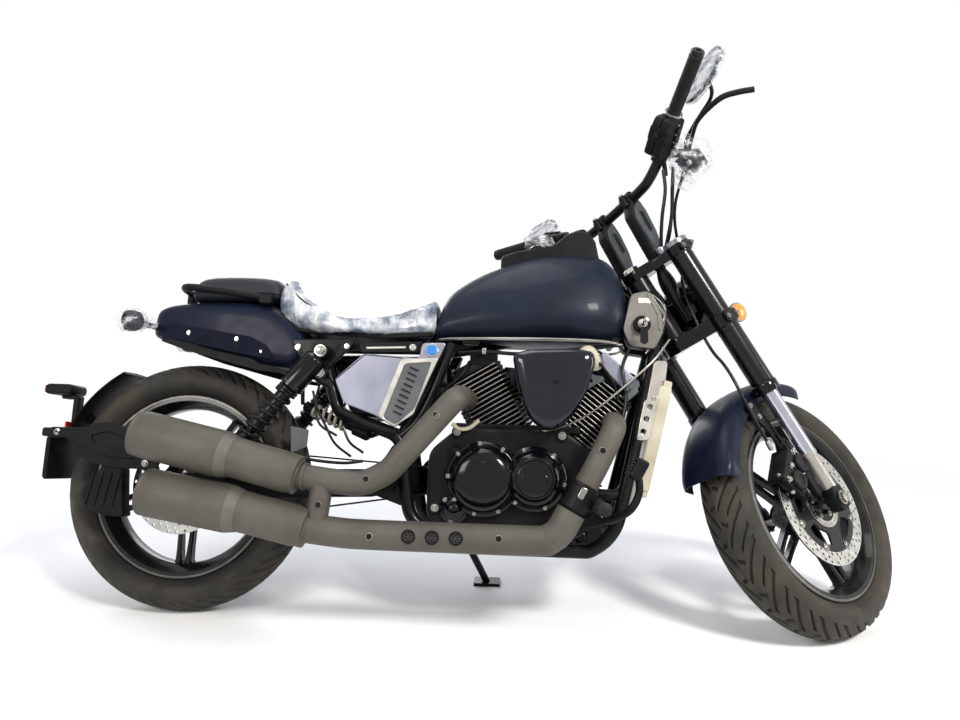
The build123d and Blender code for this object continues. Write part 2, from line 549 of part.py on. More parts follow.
# Foot pegs and pedals
PEG_X, PEG_Z = 1030, 306
peg = both_sides(rod((PEG_X, 130, PEG_Z), (PEG_X, 330, PEG_Z), 15))
peg_arm = both_sides(block((1008, 96, 290), (1052, 150, 322), 6)
                     + block((1010, 92, 200), (1050, 112, 312), 5))
chassis["rider_pegs"] = (peg + peg_arm - chassis["engine_case"] - chassis["frame_cradle"] - exhaust_pipes)
pedal_path = [(1010, -150, 262), (1100, -176, 256), (1134, -214, 300), (1120, -226, 380)]
pedal_lever = tube(pedal_path, 8, [30, 24])
pedal_pad = block((1096, -266, 378), (1152, -208, 404), 6)
pedal_pivot = rod((1010, -98, 262), (1010, -158, 262), 14)
shift_path = [(1010, 150, 262), (1110, 176, 262), (1150, 206, 318)]
shift_lever = tube(shift_path, 7, [40])
shift_toe = rod((1150, 190, 318), (1150, 262, 318), 11)
shift_pivot = rod((1010, 98, 262), (1010, 158, 262), 13)
foot_controls = pedal_lever + pedal_pad + pedal_pivot + shift_lever + shift_toe + shift_pivot
chassis["foot_controls"] = (foot_controls - chassis["rider_pegs"] - chassis["engine_case"]
                            - chassis["frame_cradle"] - exhaust_pipes)

# ---- front end, in steering coordinates -----------------------------------------------------------
steering = {}
leg_holes = both_sides(rod((LEG_D, LEG_Y, 700), (LEG_D, LEG_Y, 1100), LEG_OUTER_R))
yoke_half = [(-26, 20), (10, 58), (44, LEG_Y), (95, LEG_Y), (100, 62), (66, 24)]
yoke_outline = yoke_half + [(d, -y) for d, y in reversed(yoke_half)]


def yoke(low, high):
    """A plate between the legs with a ring round each."""
    rings = both_sides(rod((LEG_D, LEG_Y, low), (LEG_D, LEG_Y, high), YOKE_BOSS_R))
    return slab(yoke_outline, low, high, 9) + rings - leg_holes


stem = rod((0, 0, LOWER_YOKE[1]), (0, 0, TOP_YOKE[1] + 16), STEM_R)
stem_nut = rod((0, 0, TOP_YOKE[1]), (0, 0, TOP_YOKE[1] + 14), 20)
steering["lower_yoke"] = yoke(*LOWER_YOKE) + stem
steering["top_yoke"] = yoke(*TOP_YOKE) + stem_nut - rod((0, 0, 900), (0, 0, 1100), STEM_R)
RISER_Y = 55
RISER_HALF = 16
# d, s: straight up the back, over the bar and down the bowed front
riser_outline = [(32, TOP_YOKE[1]), (66, TOP_YOKE[1]), (92, 1131), (103, 1196), (103, 1264), (63, 1264),
                 (62, 1228), (42, 1198)]
risers = both_sides(side_plate(riser_outline, RISER_Y - RISER_HALF, RISER_Y + RISER_HALF, 6))
BAR_MIDDLE = (WHEELBASE - 459, 0, 1105)
# upright and straight ahead: x and z from the middle of the bar, and y
BAR_POINTS = [(0, 0, 0), (-2, 100, 0), (-6, 145, 8), (-12, 200, 39), (-28, 250, 65), (-47, 289, 79),
              (-103, BAR_HALF_WIDTH, 109)]


def by_bar(x, y, z):
    """A point given from the middle of the bar, in steering coordinates."""
    return steer_point(BAR_MIDDLE[0] + x, y, BAR_MIDDLE[2] + z)


bar_left = [by_bar(x, y, z) for x, y, z in BAR_POINTS]
bar_right = [by_bar(x, -y, z) for x, y, z in BAR_POINTS]
bar_points = list(reversed(bar_right))[:-1] + bar_left[1:]
BAR_BENDS = [60, 60, 60, 40, 40, 40, 40, 60, 60, 60]
steering["handlebar"] = tube(bar_points, BAR_R, BAR_BENDS)
bar_bore = tube(bar_points, BAR_R + BORE_GAP, BAR_BENDS)
steering["risers"] = risers - bar_bore

bar_foot, bar_tip = Vector(*bar_left[5]), Vector(*bar_left[6])
grip_dir = (bar_tip - bar_foot).normalized()


def along_grip(distance):
    return bar_tip - grip_dir * distance


grip = rod(along_grip(148), along_grip(-14), GRIP_R)
steering["grips"] = both_sides(grip) - bar_bore
# Switch block below each grip, then the clamp whose arm carries the lever and the mirror
block_foot, block_top = Vector(*bar_left[3]), Vector(*bar_left[5])
block_plane = Plane(origin=block_foot - Vector(10, 0, 0), x_dir=(1, 0, 0), z_dir=block_top - block_foot)
switch = extrude(block_plane * RectangleRounded(80, 50, 12), amount=(block_top - block_foot).length)
clamp_foot = block_foot + (Vector(*bar_left[2]) - block_foot).normalized() * 20
PERCH_END = (146, 236, 1252)
perch = rod(clamp_foot, block_foot, 21) + rod(block_foot, PERCH_END, 12)
steering["switches"] = both_sides(switch + perch) - bar_bore
LEVER_POINTS = [PERCH_END, (150, 300, 1298), (162, 380, 1306), (208, 435, 1277)]
lever = tube(LEVER_POINTS, 7.5, [30, 60])
steering["levers"] = both_sides(lever) - steering["switches"]
RESERVOIR = (143, -236, 1226)
reservoir = Pos(*RESERVOIR) * Box(62, 44, 46)
steering["brake_master"] = reservoir - steering["levers"] - steering["switches"]

MIRROR = by_bar(17, BAR_HALF_WIDTH - 70, 182.5)
MIRROR_YAW, MIRROR_PITCH, MIRROR_ROLL = 10, 10, 10
mirror_place = Pos(*MIRROR) * Rot(0, RAKE, 0)
mirror_place *= Rot(0, 0, MIRROR_YAW) * Rot(0, MIRROR_PITCH, 0) * Rot(MIRROR_ROLL, 0, 0)
mirror_face = mirror_place * Rot(0, 90, 0) * extrude(Ellipse(46, 76), amount=9, both=True)
mirror_stem = tube([(150, 226, 1250), (168, 240, 1285), (196, 300, 1321), (186, 360, 1338),
                    Vector(*MIRROR) + Vector(6, 0, -12)], 5, [16, 30, 12])
steering["mirrors"] = (both_sides(mirror_face + mirror_stem) - steering["switches"]
                       - steering["levers"] - steering["brake_master"])

leg_upper = rod((LEG_D, LEG_Y, 652), (LEG_D, LEG_Y, TOP_YOKE[1] + 4), LEG_OUTER_R)
leg_collar = rod((LEG_D, LEG_Y, 622), (LEG_D, LEG_Y, 652), LEG_COLLAR_R)
leg_slim = rod((LEG_D, LEG_Y, AXLE_S + 17), (LEG_D, LEG_Y, 622), LEG_SLIM_R)
# ahead of and above the axle
FOOT = [(-25, -37), (41, -37), (49, 7), (29, 49), (-15, 49), (-27, 17)]
foot_outline = [(AXLE_D + ahead, AXLE_S + above) for ahead, above in FOOT]
foot = side_plate(foot_outline, LEG_Y - LEG_SLIM_R, LEG_Y + LEG_SLIM_R, 10)
front_axle_hole = rod((AXLE_D, -200, AXLE_S), (AXLE_D, 200, AXLE_S), AXLE_R)
steering["fork_legs"] = both_sides(leg_upper + leg_collar + leg_slim + foot) - front_axle_hole
FRONT_AXLE_END = LEG_Y + 30
front_axle = rod((AXLE_D, -FRONT_AXLE_END, AXLE_S), (AXLE_D, FRONT_AXLE_END, AXLE_S), AXLE_R)
front_axle_left = rod((AXLE_D, FRONT_HUB_HALF + SEAT_GAP, AXLE_S), (AXLE_D, LEG_Y - LEG_SLIM_R, AXLE_S), 16)
front_axle_right = rod((AXLE_D, FRONT_DISC_Y - 4, AXLE_S), (AXLE_D, LEG_SLIM_R - LEG_Y, AXLE_S), 16)
front_bore = rod((AXLE_D, -FRONT_AXLE_END - 1, AXLE_S), (AXLE_D, FRONT_AXLE_END + 1, AXLE_S), AXLE_BORE)
steering["front_axle"] = front_axle + front_axle_left + front_axle_right - front_bore

# Fender: a crowned strip round the back and top of the tyre, and a stay on each leg
FENDER_R = FRONT_TYRE["radius"] + 31
FENDER_HALF = FRONT_TYRE["half_width"] + 12
FENDER_WALL = 4
FENDER_SKIRT = 52
# radius below the crown, and y: outside, then inside
fender_section = [(FENDER_R - FENDER_SKIRT, -FENDER_HALF), (FENDER_R - 20, -FENDER_HALF), (FENDER_R, -36),
                  (FENDER_R, 36), (FENDER_R - 20, FENDER_HALF), (FENDER_R - FENDER_SKIRT, FENDER_HALF)]
inner_half = FENDER_HALF - FENDER_WALL
fender_section += [(FENDER_R - FENDER_SKIRT, inner_half), (FENDER_R - 22, inner_half),
                   (FENDER_R - FENDER_WALL, 34), (FENDER_R - FENDER_WALL, -34),
                   (FENDER_R - 22, -inner_half), (FENDER_R - FENDER_SKIRT, -inner_half)]
fender_face = make_face(Polyline(*fender_section, close=True))
FENDER_FRONT, FENDER_REAR = 96, 174      # degrees up from straight ahead
fender = revolve(fender_face, axis=Axis.Y, revolution_arc=FENDER_REAR - FENDER_FRONT)
fender = Pos(AXLE_D, 0, AXLE_S) * Rot(0, RAKE - FENDER_REAR, 0) * fender
# ahead of and above the axle
STAY = [(-29, 7), (-3, 7), (-9, 157), (-33, 277), (-55, 317), (-79, 297), (-57, 237), (-37, 147)]
stay_outline = [(AXLE_D + ahead, AXLE_S + above) for ahead, above in STAY]
stays = both_sides(side_plate(stay_outline, FENDER_HALF - 1, LEG_Y - LEG_SLIM_R, 5))
steering["front_fender"] = fender
steering["fender_stays"] = stays - fender - steering["fork_legs"] - steering["front_axle"]

CALIPER_ANGLE = 150
caliper_turn = Pos(AXLE_D, 0, AXLE_S) * Rot(0, RAKE - CALIPER_ANGLE, 0)
caliper = caliper_turn * fillet((Pos(FRONT_DISC_R - 28, FRONT_DISC_Y - 8, 0) * Box(82, 56, 116)).edges(), 9)
front_disc_room = rod((AXLE_D, FRONT_DISC_Y - 9, AXLE_S), (AXLE_D, FRONT_DISC_Y + 9, AXLE_S),
                      FRONT_DISC_R + MOVING_GAP)
caliper_lug = block((AXLE_D - 39, LEG_SLIM_R - LEG_Y - 18, AXLE_S + 29),
                    (AXLE_D - 11, FRONT_DISC_Y - 30, AXLE_S + 97))
steering["front_caliper"] = (caliper + caliper_lug - front_disc_room - steering["fork_legs"]
                             - steering["front_fender"] - steering["fender_stays"])

# Headlight between and ahead of the legs, its axis level when upright
LAMP_R = 78
LAMP_CENTRE = (112, 0, 934)
lamp = Pos(*LAMP_CENTRE) * Rot(0, RAKE, 0) * Rot(0, 90, 0)
lamp_bowl = lamp * Pos(0, 0, 34) * Cylinder(LAMP_R, 60)
lamp_back = lamp * Pos(0, 0, -8) * Cylinder(LAMP_R - 24, 40)
lamp_mount = block((70, -LEG_Y + LEG_OUTER_R, 916), (100, LEG_Y - LEG_OUTER_R, 946))
steering["headlight"] = (lamp_bowl + lamp_back + lamp_mount - steering["fork_legs"]
                         - steering["lower_yoke"])

# Brake hose: from the master cylinder past the front of the top yoke and behind the right leg
# d, y, s
hose_points = [(118, -222, 1216), (80, -190, 1176), (92, -138, 1133), (118, -94, 1082), (112, -72, 1020),
               (60, -62, 960), (20, -62, 790), (-5, -96, 726), (-28, -96, 599), (-27, -92, 505)]
hose = tube(hose_points, HOSE_R, [40, 60, 60, 60, 60, 60, 60, 60])
steering["front_brake_hose"] = (hose - steering["lower_yoke"] - steering["brake_master"]
                                - steering["front_caliper"])

SIGNAL = (120, 128, 835)
SIGNAL_WAY = Vector(-0.25, 0.95, -0.1)
signal = both_sides(rod(Vector(*SIGNAL) - SIGNAL_WAY * 24, SIGNAL, 26))
steering["front_signals"] = signal - steering["lower_yoke"] - steering["fork_legs"]

# ---- side stand, upright --------------------------------------------------------------------------
def tyre_low(centre_z, axle_z, size):
    """Lowest point of a tyre from its centre height and the upward part of its spindle direction."""
    return centre_z - (size["radius"] - size["crown"]) * sqrt(1 - axle_z ** 2) - size["crown"]


def set_down(pitch, lift):
    return Pos(0, 0, lift) * Rot(0, pitch, 0) * Rot(-LEAN, 0, 0)


front_place = STEER_PLANE.location * Rot(0, 0, STEER_LOCK)
pitch, lift = 0.0, 0.0
for _ in range(12):
    rest = set_down(pitch, lift)
    rear_centre = (rest * Pos(0, 0, REAR_TYRE["radius"])).position
    rear_spindle = (rest * Pos(0, 1, REAR_TYRE["radius"])).position - rear_centre
    front_centre = (rest * front_place * Pos(AXLE_D, 0, AXLE_S)).position
    front_spindle = (rest * front_place * Pos(AXLE_D, 1, AXLE_S)).position - front_centre
    rear_low = tyre_low(rear_centre.Z, rear_spindle.Z, REAR_TYRE)
    front_low = tyre_low(front_centre.Z, front_spindle.Z, FRONT_TYRE)
    pitch += degrees(atan2(front_low - rear_low, front_centre.X - rear_centre.X))
    lift -= rear_low
rest = set_down(pitch, lift)
print("pitch", round(pitch, 3), "lift", round(lift, 3))

FOOT_GROUND = (770, 278)      # x, y of the foot's middle on the floor, leaned frame
FOOT_HEIGHT = 9
STAND_EYE_HALF = 11
STAND_PIN_R = 6

foot_world = Pos(FOOT_GROUND[0], FOOT_GROUND[1], FOOT_HEIGHT / 2)
foot_upright = (rest.inverse() * foot_world).position
pivot_point = Vector(*STAND_PIVOT)
leg_dir = (foot_upright - pivot_point).normalized()
stowed_dir = Vector(-0.985, 0.05, 0.165).normalized()
stand_axis = leg_dir.cross(stowed_dir).normalized()
stand_leg = rod(pivot_point + leg_dir * 4, foot_upright, 10)
stand_eye = rod(pivot_point - stand_axis * STAND_EYE_HALF, pivot_point + stand_axis * STAND_EYE_HALF, 19)
stand_foot = rest.inverse() * foot_world * Box(74, 54, FOOT_HEIGHT)
eye_clear = STAND_EYE_HALF + SEAT_GAP
pin_hole = rod(pivot_point - stand_axis * 60, pivot_point + stand_axis * 60, STAND_PIN_R + RUNNING)
side_stand = stand_leg + stand_eye + stand_foot - pin_hole
stand_pin = rod(pivot_point - stand_axis * 24, pivot_point + stand_axis * (STAND_EYE_HALF + 5), STAND_PIN_R)
stand_bracket = rod(pivot_point - stand_axis * 24, pivot_point - stand_axis * eye_clear, 17)
bracket_arm = rod(pivot_point - stand_axis * 18, Vector(pivot_point.X, CRADLE_Y, 200), 12)
bracket_arm -= rod(pivot_point - stand_axis * eye_clear, pivot_point + stand_axis * 40, 40)
chassis["stand_bracket"] = stand_bracket + bracket_arm + stand_pin - chassis["frame_cradle"]

# ---- bodies ---------------------------------------------------------------------------------------
rear_place = Pos(0, 0, REAR_TYRE["radius"])
front_wheel_place = Pos(AXLE_D, 0, AXLE_S)
rear_pulley = (rod((0, REAR_HUB_HALF, 0), (0, PULLEY_Y + 10, 0), 50)
               + rod((0, PULLEY_Y - 9, 0), (0, PULLEY_Y + 9, 0), PULLEY_R))
rear_pulley -= rod((0, -200, 0), (0, 200, 0), AXLE_R + RUNNING)
front_wheel = {
    "front_tyre": tyre(FRONT_TYRE),
    "front_rim": rim(FRONT_HUB_HALF),
    "front_disc": brake_disc(FRONT_DISC_R, FRONT_DISC_Y, FRONT_HUB_HALF),
}
rear_wheel = {
    "rear_tyre": tyre(REAR_TYRE),
    "rear_rim": rim(REAR_HUB_HALF),
    "rear_disc": brake_disc(REAR_DISC_R, REAR_DISC_Y, REAR_HUB_HALF),
    "rear_pulley": rear_pulley,
}

placed = {}
for name, solid in chassis.items():
    placed[name] = rest * solid
for name, solid in steering.items():
    placed[name] = rest * front_place * solid
for name, solid in front_wheel.items():
    placed[name] = rest * front_place * front_wheel_place * solid
for name, solid in rear_wheel.items():
    placed[name] = rest * rear_place * solid
placed["side_stand"] = rest * side_stand

boxes = [solid.bounding_box() for solid in placed.values()]
low_x, high_x = min(box.min.X for box in boxes), max(box.max.X for box in boxes)
low_y, high_y = min(box.min.Y for box in boxes), max(box.max.Y for box in boxes)
SHIFT = Pos(-(low_x + high_x) / 2, -(low_y + high_y) / 2, 0)
print("size", round(high_x - low_x), round(high_y - low_y), round(max(box.max.Z for box in boxes)))

os.makedirs("parts", exist_ok=True)
for name, solid in placed.items():
    export_step(SHIFT * solid, f"parts/{name}.step")
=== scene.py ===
"""Looks of a parked cruiser motorcycle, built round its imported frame.

Shapes are written in millimetres in one of four places that follow the frame: CHASSIS (x forward, y to
the rider's left, z up, from the ground under the rear axle with the machine upright), STEERING (d ahead
of the steering axis, y left, s up along it), and one place at the middle of each wheel.
"""
import json
from math import acos, atan2, cos, degrees, hypot, pi, radians, sin, sqrt, tau

import bpy
import numpy as np
from mathutils import Matrix, Vector, noise


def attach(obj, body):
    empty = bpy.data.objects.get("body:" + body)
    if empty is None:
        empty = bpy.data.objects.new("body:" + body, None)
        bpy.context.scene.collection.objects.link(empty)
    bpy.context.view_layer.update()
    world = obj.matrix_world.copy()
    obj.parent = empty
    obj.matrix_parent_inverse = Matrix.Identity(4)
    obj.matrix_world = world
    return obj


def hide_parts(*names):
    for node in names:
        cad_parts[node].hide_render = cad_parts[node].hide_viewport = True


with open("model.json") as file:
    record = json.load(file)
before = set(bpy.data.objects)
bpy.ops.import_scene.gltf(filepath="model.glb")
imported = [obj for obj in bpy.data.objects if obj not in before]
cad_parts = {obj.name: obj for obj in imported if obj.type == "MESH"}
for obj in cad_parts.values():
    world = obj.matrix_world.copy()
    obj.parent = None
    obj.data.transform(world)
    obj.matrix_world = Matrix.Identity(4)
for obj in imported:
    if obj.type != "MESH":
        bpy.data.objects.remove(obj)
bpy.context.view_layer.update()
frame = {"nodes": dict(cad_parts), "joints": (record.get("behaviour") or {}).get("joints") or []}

# ---- places --------------------------------------------------------------------------------------
MM = 0.001
RAKE = radians(31.2)
REAR_RADIUS = 314
FRONT_RADIUS = 309
ORIGIN, AHEAD, BACK = (0, 0, 0), (1, 0, 0), (-1, 0, 0)
LEFT, RIGHT, UP, DOWN = (0, 1, 0), (0, -1, 0), (0, 0, 1), (0, 0, -1)
STEER_FOOT = 1690            # x where the steering axis meets the ground
JOINT = {joint["name"]: joint for joint in frame["joints"]}


def place(origin, across, up):
    """Millimetres along three axes to metres in the row frame; across is y and up is z."""
    ahead = across.cross(up)
    matrix = Matrix.Identity(4)
    for column, axis in enumerate((ahead, across, up)):
        for row in range(3):
            matrix[row][column] = axis[row] * MM
    matrix.translation = origin
    return matrix


def joint_axis(name):
    """A joint's axis, one metre long."""
    return Vector(JOINT[name]["axis"]).normalized()


steer_axis = joint_axis("steering_stem")
left = joint_axis("rear_wheel_spin")
fore = left.cross(steer_axis)
up = fore * sin(RAKE) + steer_axis * cos(RAKE)
rear_hub = Vector(JOINT["rear_wheel_spin"]["pos_m"])
CHASSIS = place(rear_hub - up * REAR_RADIUS * MM, left, up)
REAR_WHEEL = place(rear_hub, left, up)
turned_left = joint_axis("front_wheel_spin")
STEERING = place(CHASSIS @ Vector((STEER_FOOT, 0, 0)), turned_left, steer_axis)
FRONT_WHEEL = place(Vector(JOINT["front_wheel_spin"]["pos_m"]), turned_left, steer_axis)


def steer_point(x, y, z):
    """A point given upright and straight ahead, in steering coordinates."""
    run = x - STEER_FOOT
    return Vector((run * cos(RAKE) + z * sin(RAKE), y, z * cos(RAKE) - run * sin(RAKE)))


# ---- camera, light and floor ---------------------------------------------------------------------
SENSOR = 36
LENS = 26.41
CAMERA_AT = Vector((839.0, -1833.8, 382.2))
CAMERA_TURN = (8.75, -2.01, 3.03)      # degrees about x, y and z, from looking along y with z up
WORLD_LIGHT, WORLD_TINT = 0.34, (0.88, 0.92, 1.0, 1)
FLOOR_REACH = 14
FLOOR_FADE = (1.5, 3.4)      # metres from the middle where the floor starts to turn white, and is white
FLOOR_TINTS = [(0.93, 0.93, 0.93, 1), (0.97, 0.97, 0.965, 1)]


def add_camera():
    """The camera that stands where the photograph was taken from."""
    data = bpy.data.cameras.new("camera")
    data.sensor_width, data.lens = SENSOR, LENS
    data.clip_start, data.clip_end = 0.05, 60
    camera = bpy.data.objects.new("camera", data)
    bpy.context.scene.collection.objects.link(camera)
    tilt, roll, turn = (radians(angle) for angle in CAMERA_TURN)
    look = (Matrix.Rotation(turn, 3, "Z") @ Matrix.Rotation(tilt, 3, "X") @ Matrix.Rotation(roll, 3, "Y")
            @ Matrix.Rotation(pi / 2, 3, "X"))
    turn_to_row = CHASSIS.to_3x3().normalized()
    camera.matrix_world = Matrix.Translation(CHASSIS @ CAMERA_AT) @ (turn_to_row @ look).to_4x4()
    bpy.context.scene.camera = camera


# name, place, aim, width, height, watts, colour
LAMPS = [
    ("key", (2.2, -3.0, 3.2), (0.2, 0, 0.4), 0.8, 0.8, 190, (1.0, 0.97, 0.92)),
    ("front", (4.2, -0.9, 1.5), (0.2, 0, 0.5), 0.7, 2.2, 55, (1.0, 0.98, 0.95)),
    ("side", (-2.2, -3.4, 2.2), (-0.3, 0, 0.5), 1.6, 1.2, 75, (1.0, 0.97, 0.93)),
    ("top", (-0.4, -0.2, 3.8), (0, 0, 0.4), 2.6, 1.6, 55, (0.93, 0.96, 1.0)),
    ("back", (-1.2, 3.2, 2.0), (0, 0, 0.5), 2.6, 1.6, 60, (0.95, 0.97, 1.0)),
]


def add_lights():
    """The soft lamps round the machine."""
    for name, spot, aim, width, height, watts, colour in LAMPS:
        data = bpy.data.lights.new(name, "AREA")
        data.shape, data.size, data.size_y = "RECTANGLE", width, height
        data.energy, data.color = watts, colour
        lamp = bpy.data.objects.new(name, data)
        bpy.context.scene.collection.objects.link(lamp)
        lamp.location = spot
        lamp.rotation_euler = (Vector(aim) - Vector(spot)).to_track_quat("-Z", "Y").to_euler()


class Nodes:
    """A node tree, with short ways to add nodes and links."""

    def __init__(self, tree):
        self.tree = tree

    def node(self, kind, **inputs):
        made = self.tree.nodes.new(kind)
        for label, value in inputs.items():
            made.inputs[label.replace("_", " ")].default_value = value
        return made

    def link(self, source, target):
        self.tree.links.new(source, target)

    def math(self, operation, first, second, clamp=False):
        made = self.node("ShaderNodeMath")
        made.operation, made.use_clamp = operation, clamp
        self.link(first, made.inputs[0])
        self.link(second, made.inputs[1])
        return made.outputs[0]

    def ramp(self, source, low, high, colours):
        """Two colours or values over a stretch of a source."""
        made = self.node("ShaderNodeValToRGB")
        for element, position, colour in zip(made.color_ramp.elements, (low, high), colours):
            element.position, element.color = position, colour
        self.link(source, made.inputs["Fac"])
        return made.outputs["Color"]

    def seen_rays(self):
        """1 for what the camera, a reflection or clear plastic sees, 0 for light on the object."""
        ray = self.node("ShaderNodeLightPath").outputs
        camera_or_gloss = self.math("ADD", ray["Is Camera Ray"], ray["Is Glossy Ray"], True)
        return self.math("ADD", camera_or_gloss, ray["Is Transmission Ray"], True)

    def end_in(self, out, share, first, second):
        """The output's surface: two shaders mixed by a share."""
        mix = self.node("ShaderNodeMixShader")
        for source, target in ((share, "Fac"), (first.outputs[0], 1), (second.outputs[0], 2)):
            self.link(source, mix.inputs[target])
        self.link(mix.outputs[0], out.inputs["Surface"])


def add_world():
    """Soft light all round, and white where the camera or a reflection sees past the floor."""
    world = bpy.data.worlds.new("studio")
    bpy.context.scene.world = world
    bpy.context.scene.view_settings.view_transform = "Standard"
    world.use_nodes = True
    world.node_tree.nodes.clear()
    nodes = Nodes(world.node_tree)
    soft = nodes.node("ShaderNodeBackground", Color=WORLD_TINT, Strength=WORLD_LIGHT)
    white = nodes.node("ShaderNodeBackground", Color=(1, 1, 1, 1), Strength=1.0)
    nodes.end_in(nodes.node("ShaderNodeOutputWorld"), nodes.seen_rays(), soft, white)


def add_floor():
    """A pale floor that keeps the shadow near the machine and turns white farther out."""
    bpy.ops.mesh.primitive_circle_add(vertices=96, radius=FLOOR_REACH, fill_type="NGON", location=ORIGIN)
    floor = bpy.context.object
    floor.name = "floor"
    material = bpy.data.materials.new("floor")
    material.use_nodes = True
    nodes = Nodes(material.node_tree)
    shader, out = (nodes.tree.nodes[name] for name in ("Principled BSDF", "Material Output"))
    shader.inputs["Roughness"].default_value = 0.9
    shader.inputs["Specular IOR Level"].default_value = 0.1
    shade = nodes.ramp(nodes.node("ShaderNodeTexNoise", Scale=3).outputs["Fac"], 0, 1, FLOOR_TINTS)
    nodes.link(shade, shader.inputs["Base Color"])
    distance = nodes.node("ShaderNodeVectorMath")
    distance.operation = "LENGTH"
    nodes.link(nodes.node("ShaderNodeTexCoord").outputs["Object"], distance.inputs[0])
    far = nodes.node("ShaderNodeMapRange", From_Min=FLOOR_FADE[0], From_Max=FLOOR_FADE[1])
    nodes.link(distance.outputs["Value"], far.inputs["Value"])
    white_share = nodes.math("MULTIPLY", far.outputs["Result"], nodes.seen_rays())
    nodes.end_in(out, white_share, shader, nodes.node("ShaderNodeEmission"))
    floor.data.materials.append(material)


# ---- shapes --------------------------------------------------------------------------------------
COIL_STEPS = 20              # points in one turn of a spring


class Shape:
    """Points and faces in millimetres."""

    def __init__(self, points=(), faces=()):
        self.points = np.array(points, float).reshape(-1, 3)
        self.faces = [tuple(face) for face in faces]

    def __add__(self, other):
        shift = len(self.points)
        moved = [tuple(index + shift for index in face) for face in other.faces]
        return Shape(np.vstack([self.points, other.points]), self.faces + moved)

    def put(self, matrix):
        """The shape moved by a matrix."""
        turned = np.array(matrix.to_3x3())
        flip = matrix.to_3x3().determinant() < 0
        faces = [face[::-1] for face in self.faces] if flip else self.faces
        return Shape(self.points @ turned.T + np.array(matrix.translation), faces)

    def moved(self, x, y, z):
        return self.put(Matrix.Translation((x, y, z)))

    def turned(self, angle, axis="Y", about=ORIGIN):
        """Turned by degrees about an axis through a point."""
        middle = Matrix.Translation(about)
        return self.put(middle @ Matrix.Rotation(radians(angle), 4, axis) @ middle.inverted())

    def mirrored(self):
        """Its image on the other side of y = 0."""
        return self.put(Matrix.Scale(-1, 4, LEFT))


def join(shapes):
    """Several shapes as one."""
    total = Shape()
    for shape in shapes:
        total = total + shape
    return total


def both(shape):
    """A shape and its image on the other side."""
    return shape + shape.mirrored()


def skin(rings, capped=True, looped=False):
    """A surface through rings of points, all with the same number of points."""
    rings = np.array([[tuple(point) for point in loop] for loop in rings], float)
    count, sides = len(rings), len(rings[0])
    faces = []
    for step in range(count if looped else count - 1):
        low, high = step * sides, (step + 1) % count * sides
        for turn in range(sides):
            after = (turn + 1) % sides
            faces.append((low + turn, low + after, high + after, high + turn))
    if capped and not looped:
        faces.append(tuple(range(sides))[::-1])
        faces.append(tuple((count - 1) * sides + turn for turn in range(sides)))
    return Shape(rings.reshape(-1, 3), faces)


def leaning(at, angle):
    """A place turned by degrees about y."""
    return Matrix.Translation(at) @ Matrix.Rotation(radians(angle), 4, "Y")


def aim(direction):
    """A turn that takes z to a direction."""
    return Vector(direction).to_track_quat("Z", "Y").to_matrix().to_4x4()


def circle(x, z, radius, steps=20):
    """Points spaced round a circle."""
    return [(x + radius * cos(tau * turn / steps), z + radius * sin(tau * turn / steps))
            for turn in range(steps)]


def lathe(profile, at=ORIGIN, direction=LEFT, steps=48, looped=False):
    """A profile of (radius, distance along the direction) turned about the direction."""
    rings = [[(x, y, along) for x, y in circle(0, 0, max(radius, 0.01), steps)] for radius, along in profile]
    return skin(rings, capped=not looped, looped=looped).put(Matrix.Translation(at) @ aim(direction))


def rod(start, end, radius, edge=1.0, steps=24):
    """A round bar with softened ends."""
    start, end = Vector(start), Vector(end)
    length = (end - start).length
    edge = min(edge, radius * 0.5, length * 0.4)
    profile = [(radius - edge, 0), (radius, edge), (radius, length - edge), (radius - edge, length)]
    return lathe(profile, start, end - start, steps)


def ring(at, direction, outer, inner, half, steps=48, edge=0.8):
    """A flat ring: half is half its thickness."""
    profile = [(inner, -half), (outer - edge, -half), (outer, edge - half), (outer, half - edge),
               (outer - edge, half), (inner, half)]
    return lathe(profile, at, direction, steps, looped=True)


def eased(before, start, end, after, share):
    """Between start and end, with slopes that follow their neighbours."""
    return 0.5 * (2 * start + (end - before) * share
                  + (2 * before - 5 * start + 4 * end - after) * share * share
                  + (3 * start - before - 3 * end + after) * share ** 3)


def smooth_path(points, per_span):
    """A curve through the points."""
    knots = [Vector(point) for point in points]
    knots = [knots[0] * 2 - knots[1]] + knots + [knots[-1] * 2 - knots[-2]]
    path = []
    for index in range(1, len(knots) - 2):
        path += [eased(*knots[index - 1:index + 3], step / per_span) for step in range(per_span)]
    return path + [knots[-2]]


def pipe(points, radius, sides, per_span=8, flat=1.0):
    """A tube on a curve through points; radius is a number or a function of the share of the way."""
    path = smooth_path(points, per_span) if per_span else [Vector(point) for point in points]
    rings = []
    side = (path[1] - path[0]).orthogonal().normalized()
    for index, centre in enumerate(path):
        ahead = (path[min(index + 1, len(path) - 1)] - path[max(index - 1, 0)]).normalized()
        side = (side - ahead * side.dot(ahead)).normalized()
        other = ahead.cross(side)
        size = radius(index / (len(path) - 1)) if callable(radius) else radius
        rings.append([centre + side * cos(tau * turn / sides) * size
                      + other * sin(tau * turn / sides) * size * flat for turn in range(sides)])
    return skin(rings)


def bent(start, corner, end, share):
    """A point on the curve from start to end that a corner pulls at."""
    return start * (1 - share) ** 2 + corner * 2 * share * (1 - share) + end * share * share


def rounded(outline, radius, steps=4):
    """An outline's corners rounded, each by what its two sides leave room for."""
    result = []
    count = len(outline)
    for index in range(count):
        corner = Vector(outline[index])
        before, after = Vector(outline[index - 1]), Vector(outline[(index + 1) % count])
        back, ahead = before - corner, after - corner
        reach = min(radius, back.length * 0.48, ahead.length * 0.48)
        start, end = corner + back.normalized() * reach, corner + ahead.normalized() * reach
        for step in range(steps + 1):
            result.append(tuple(bent(start, corner, end, step / steps)))
    return result


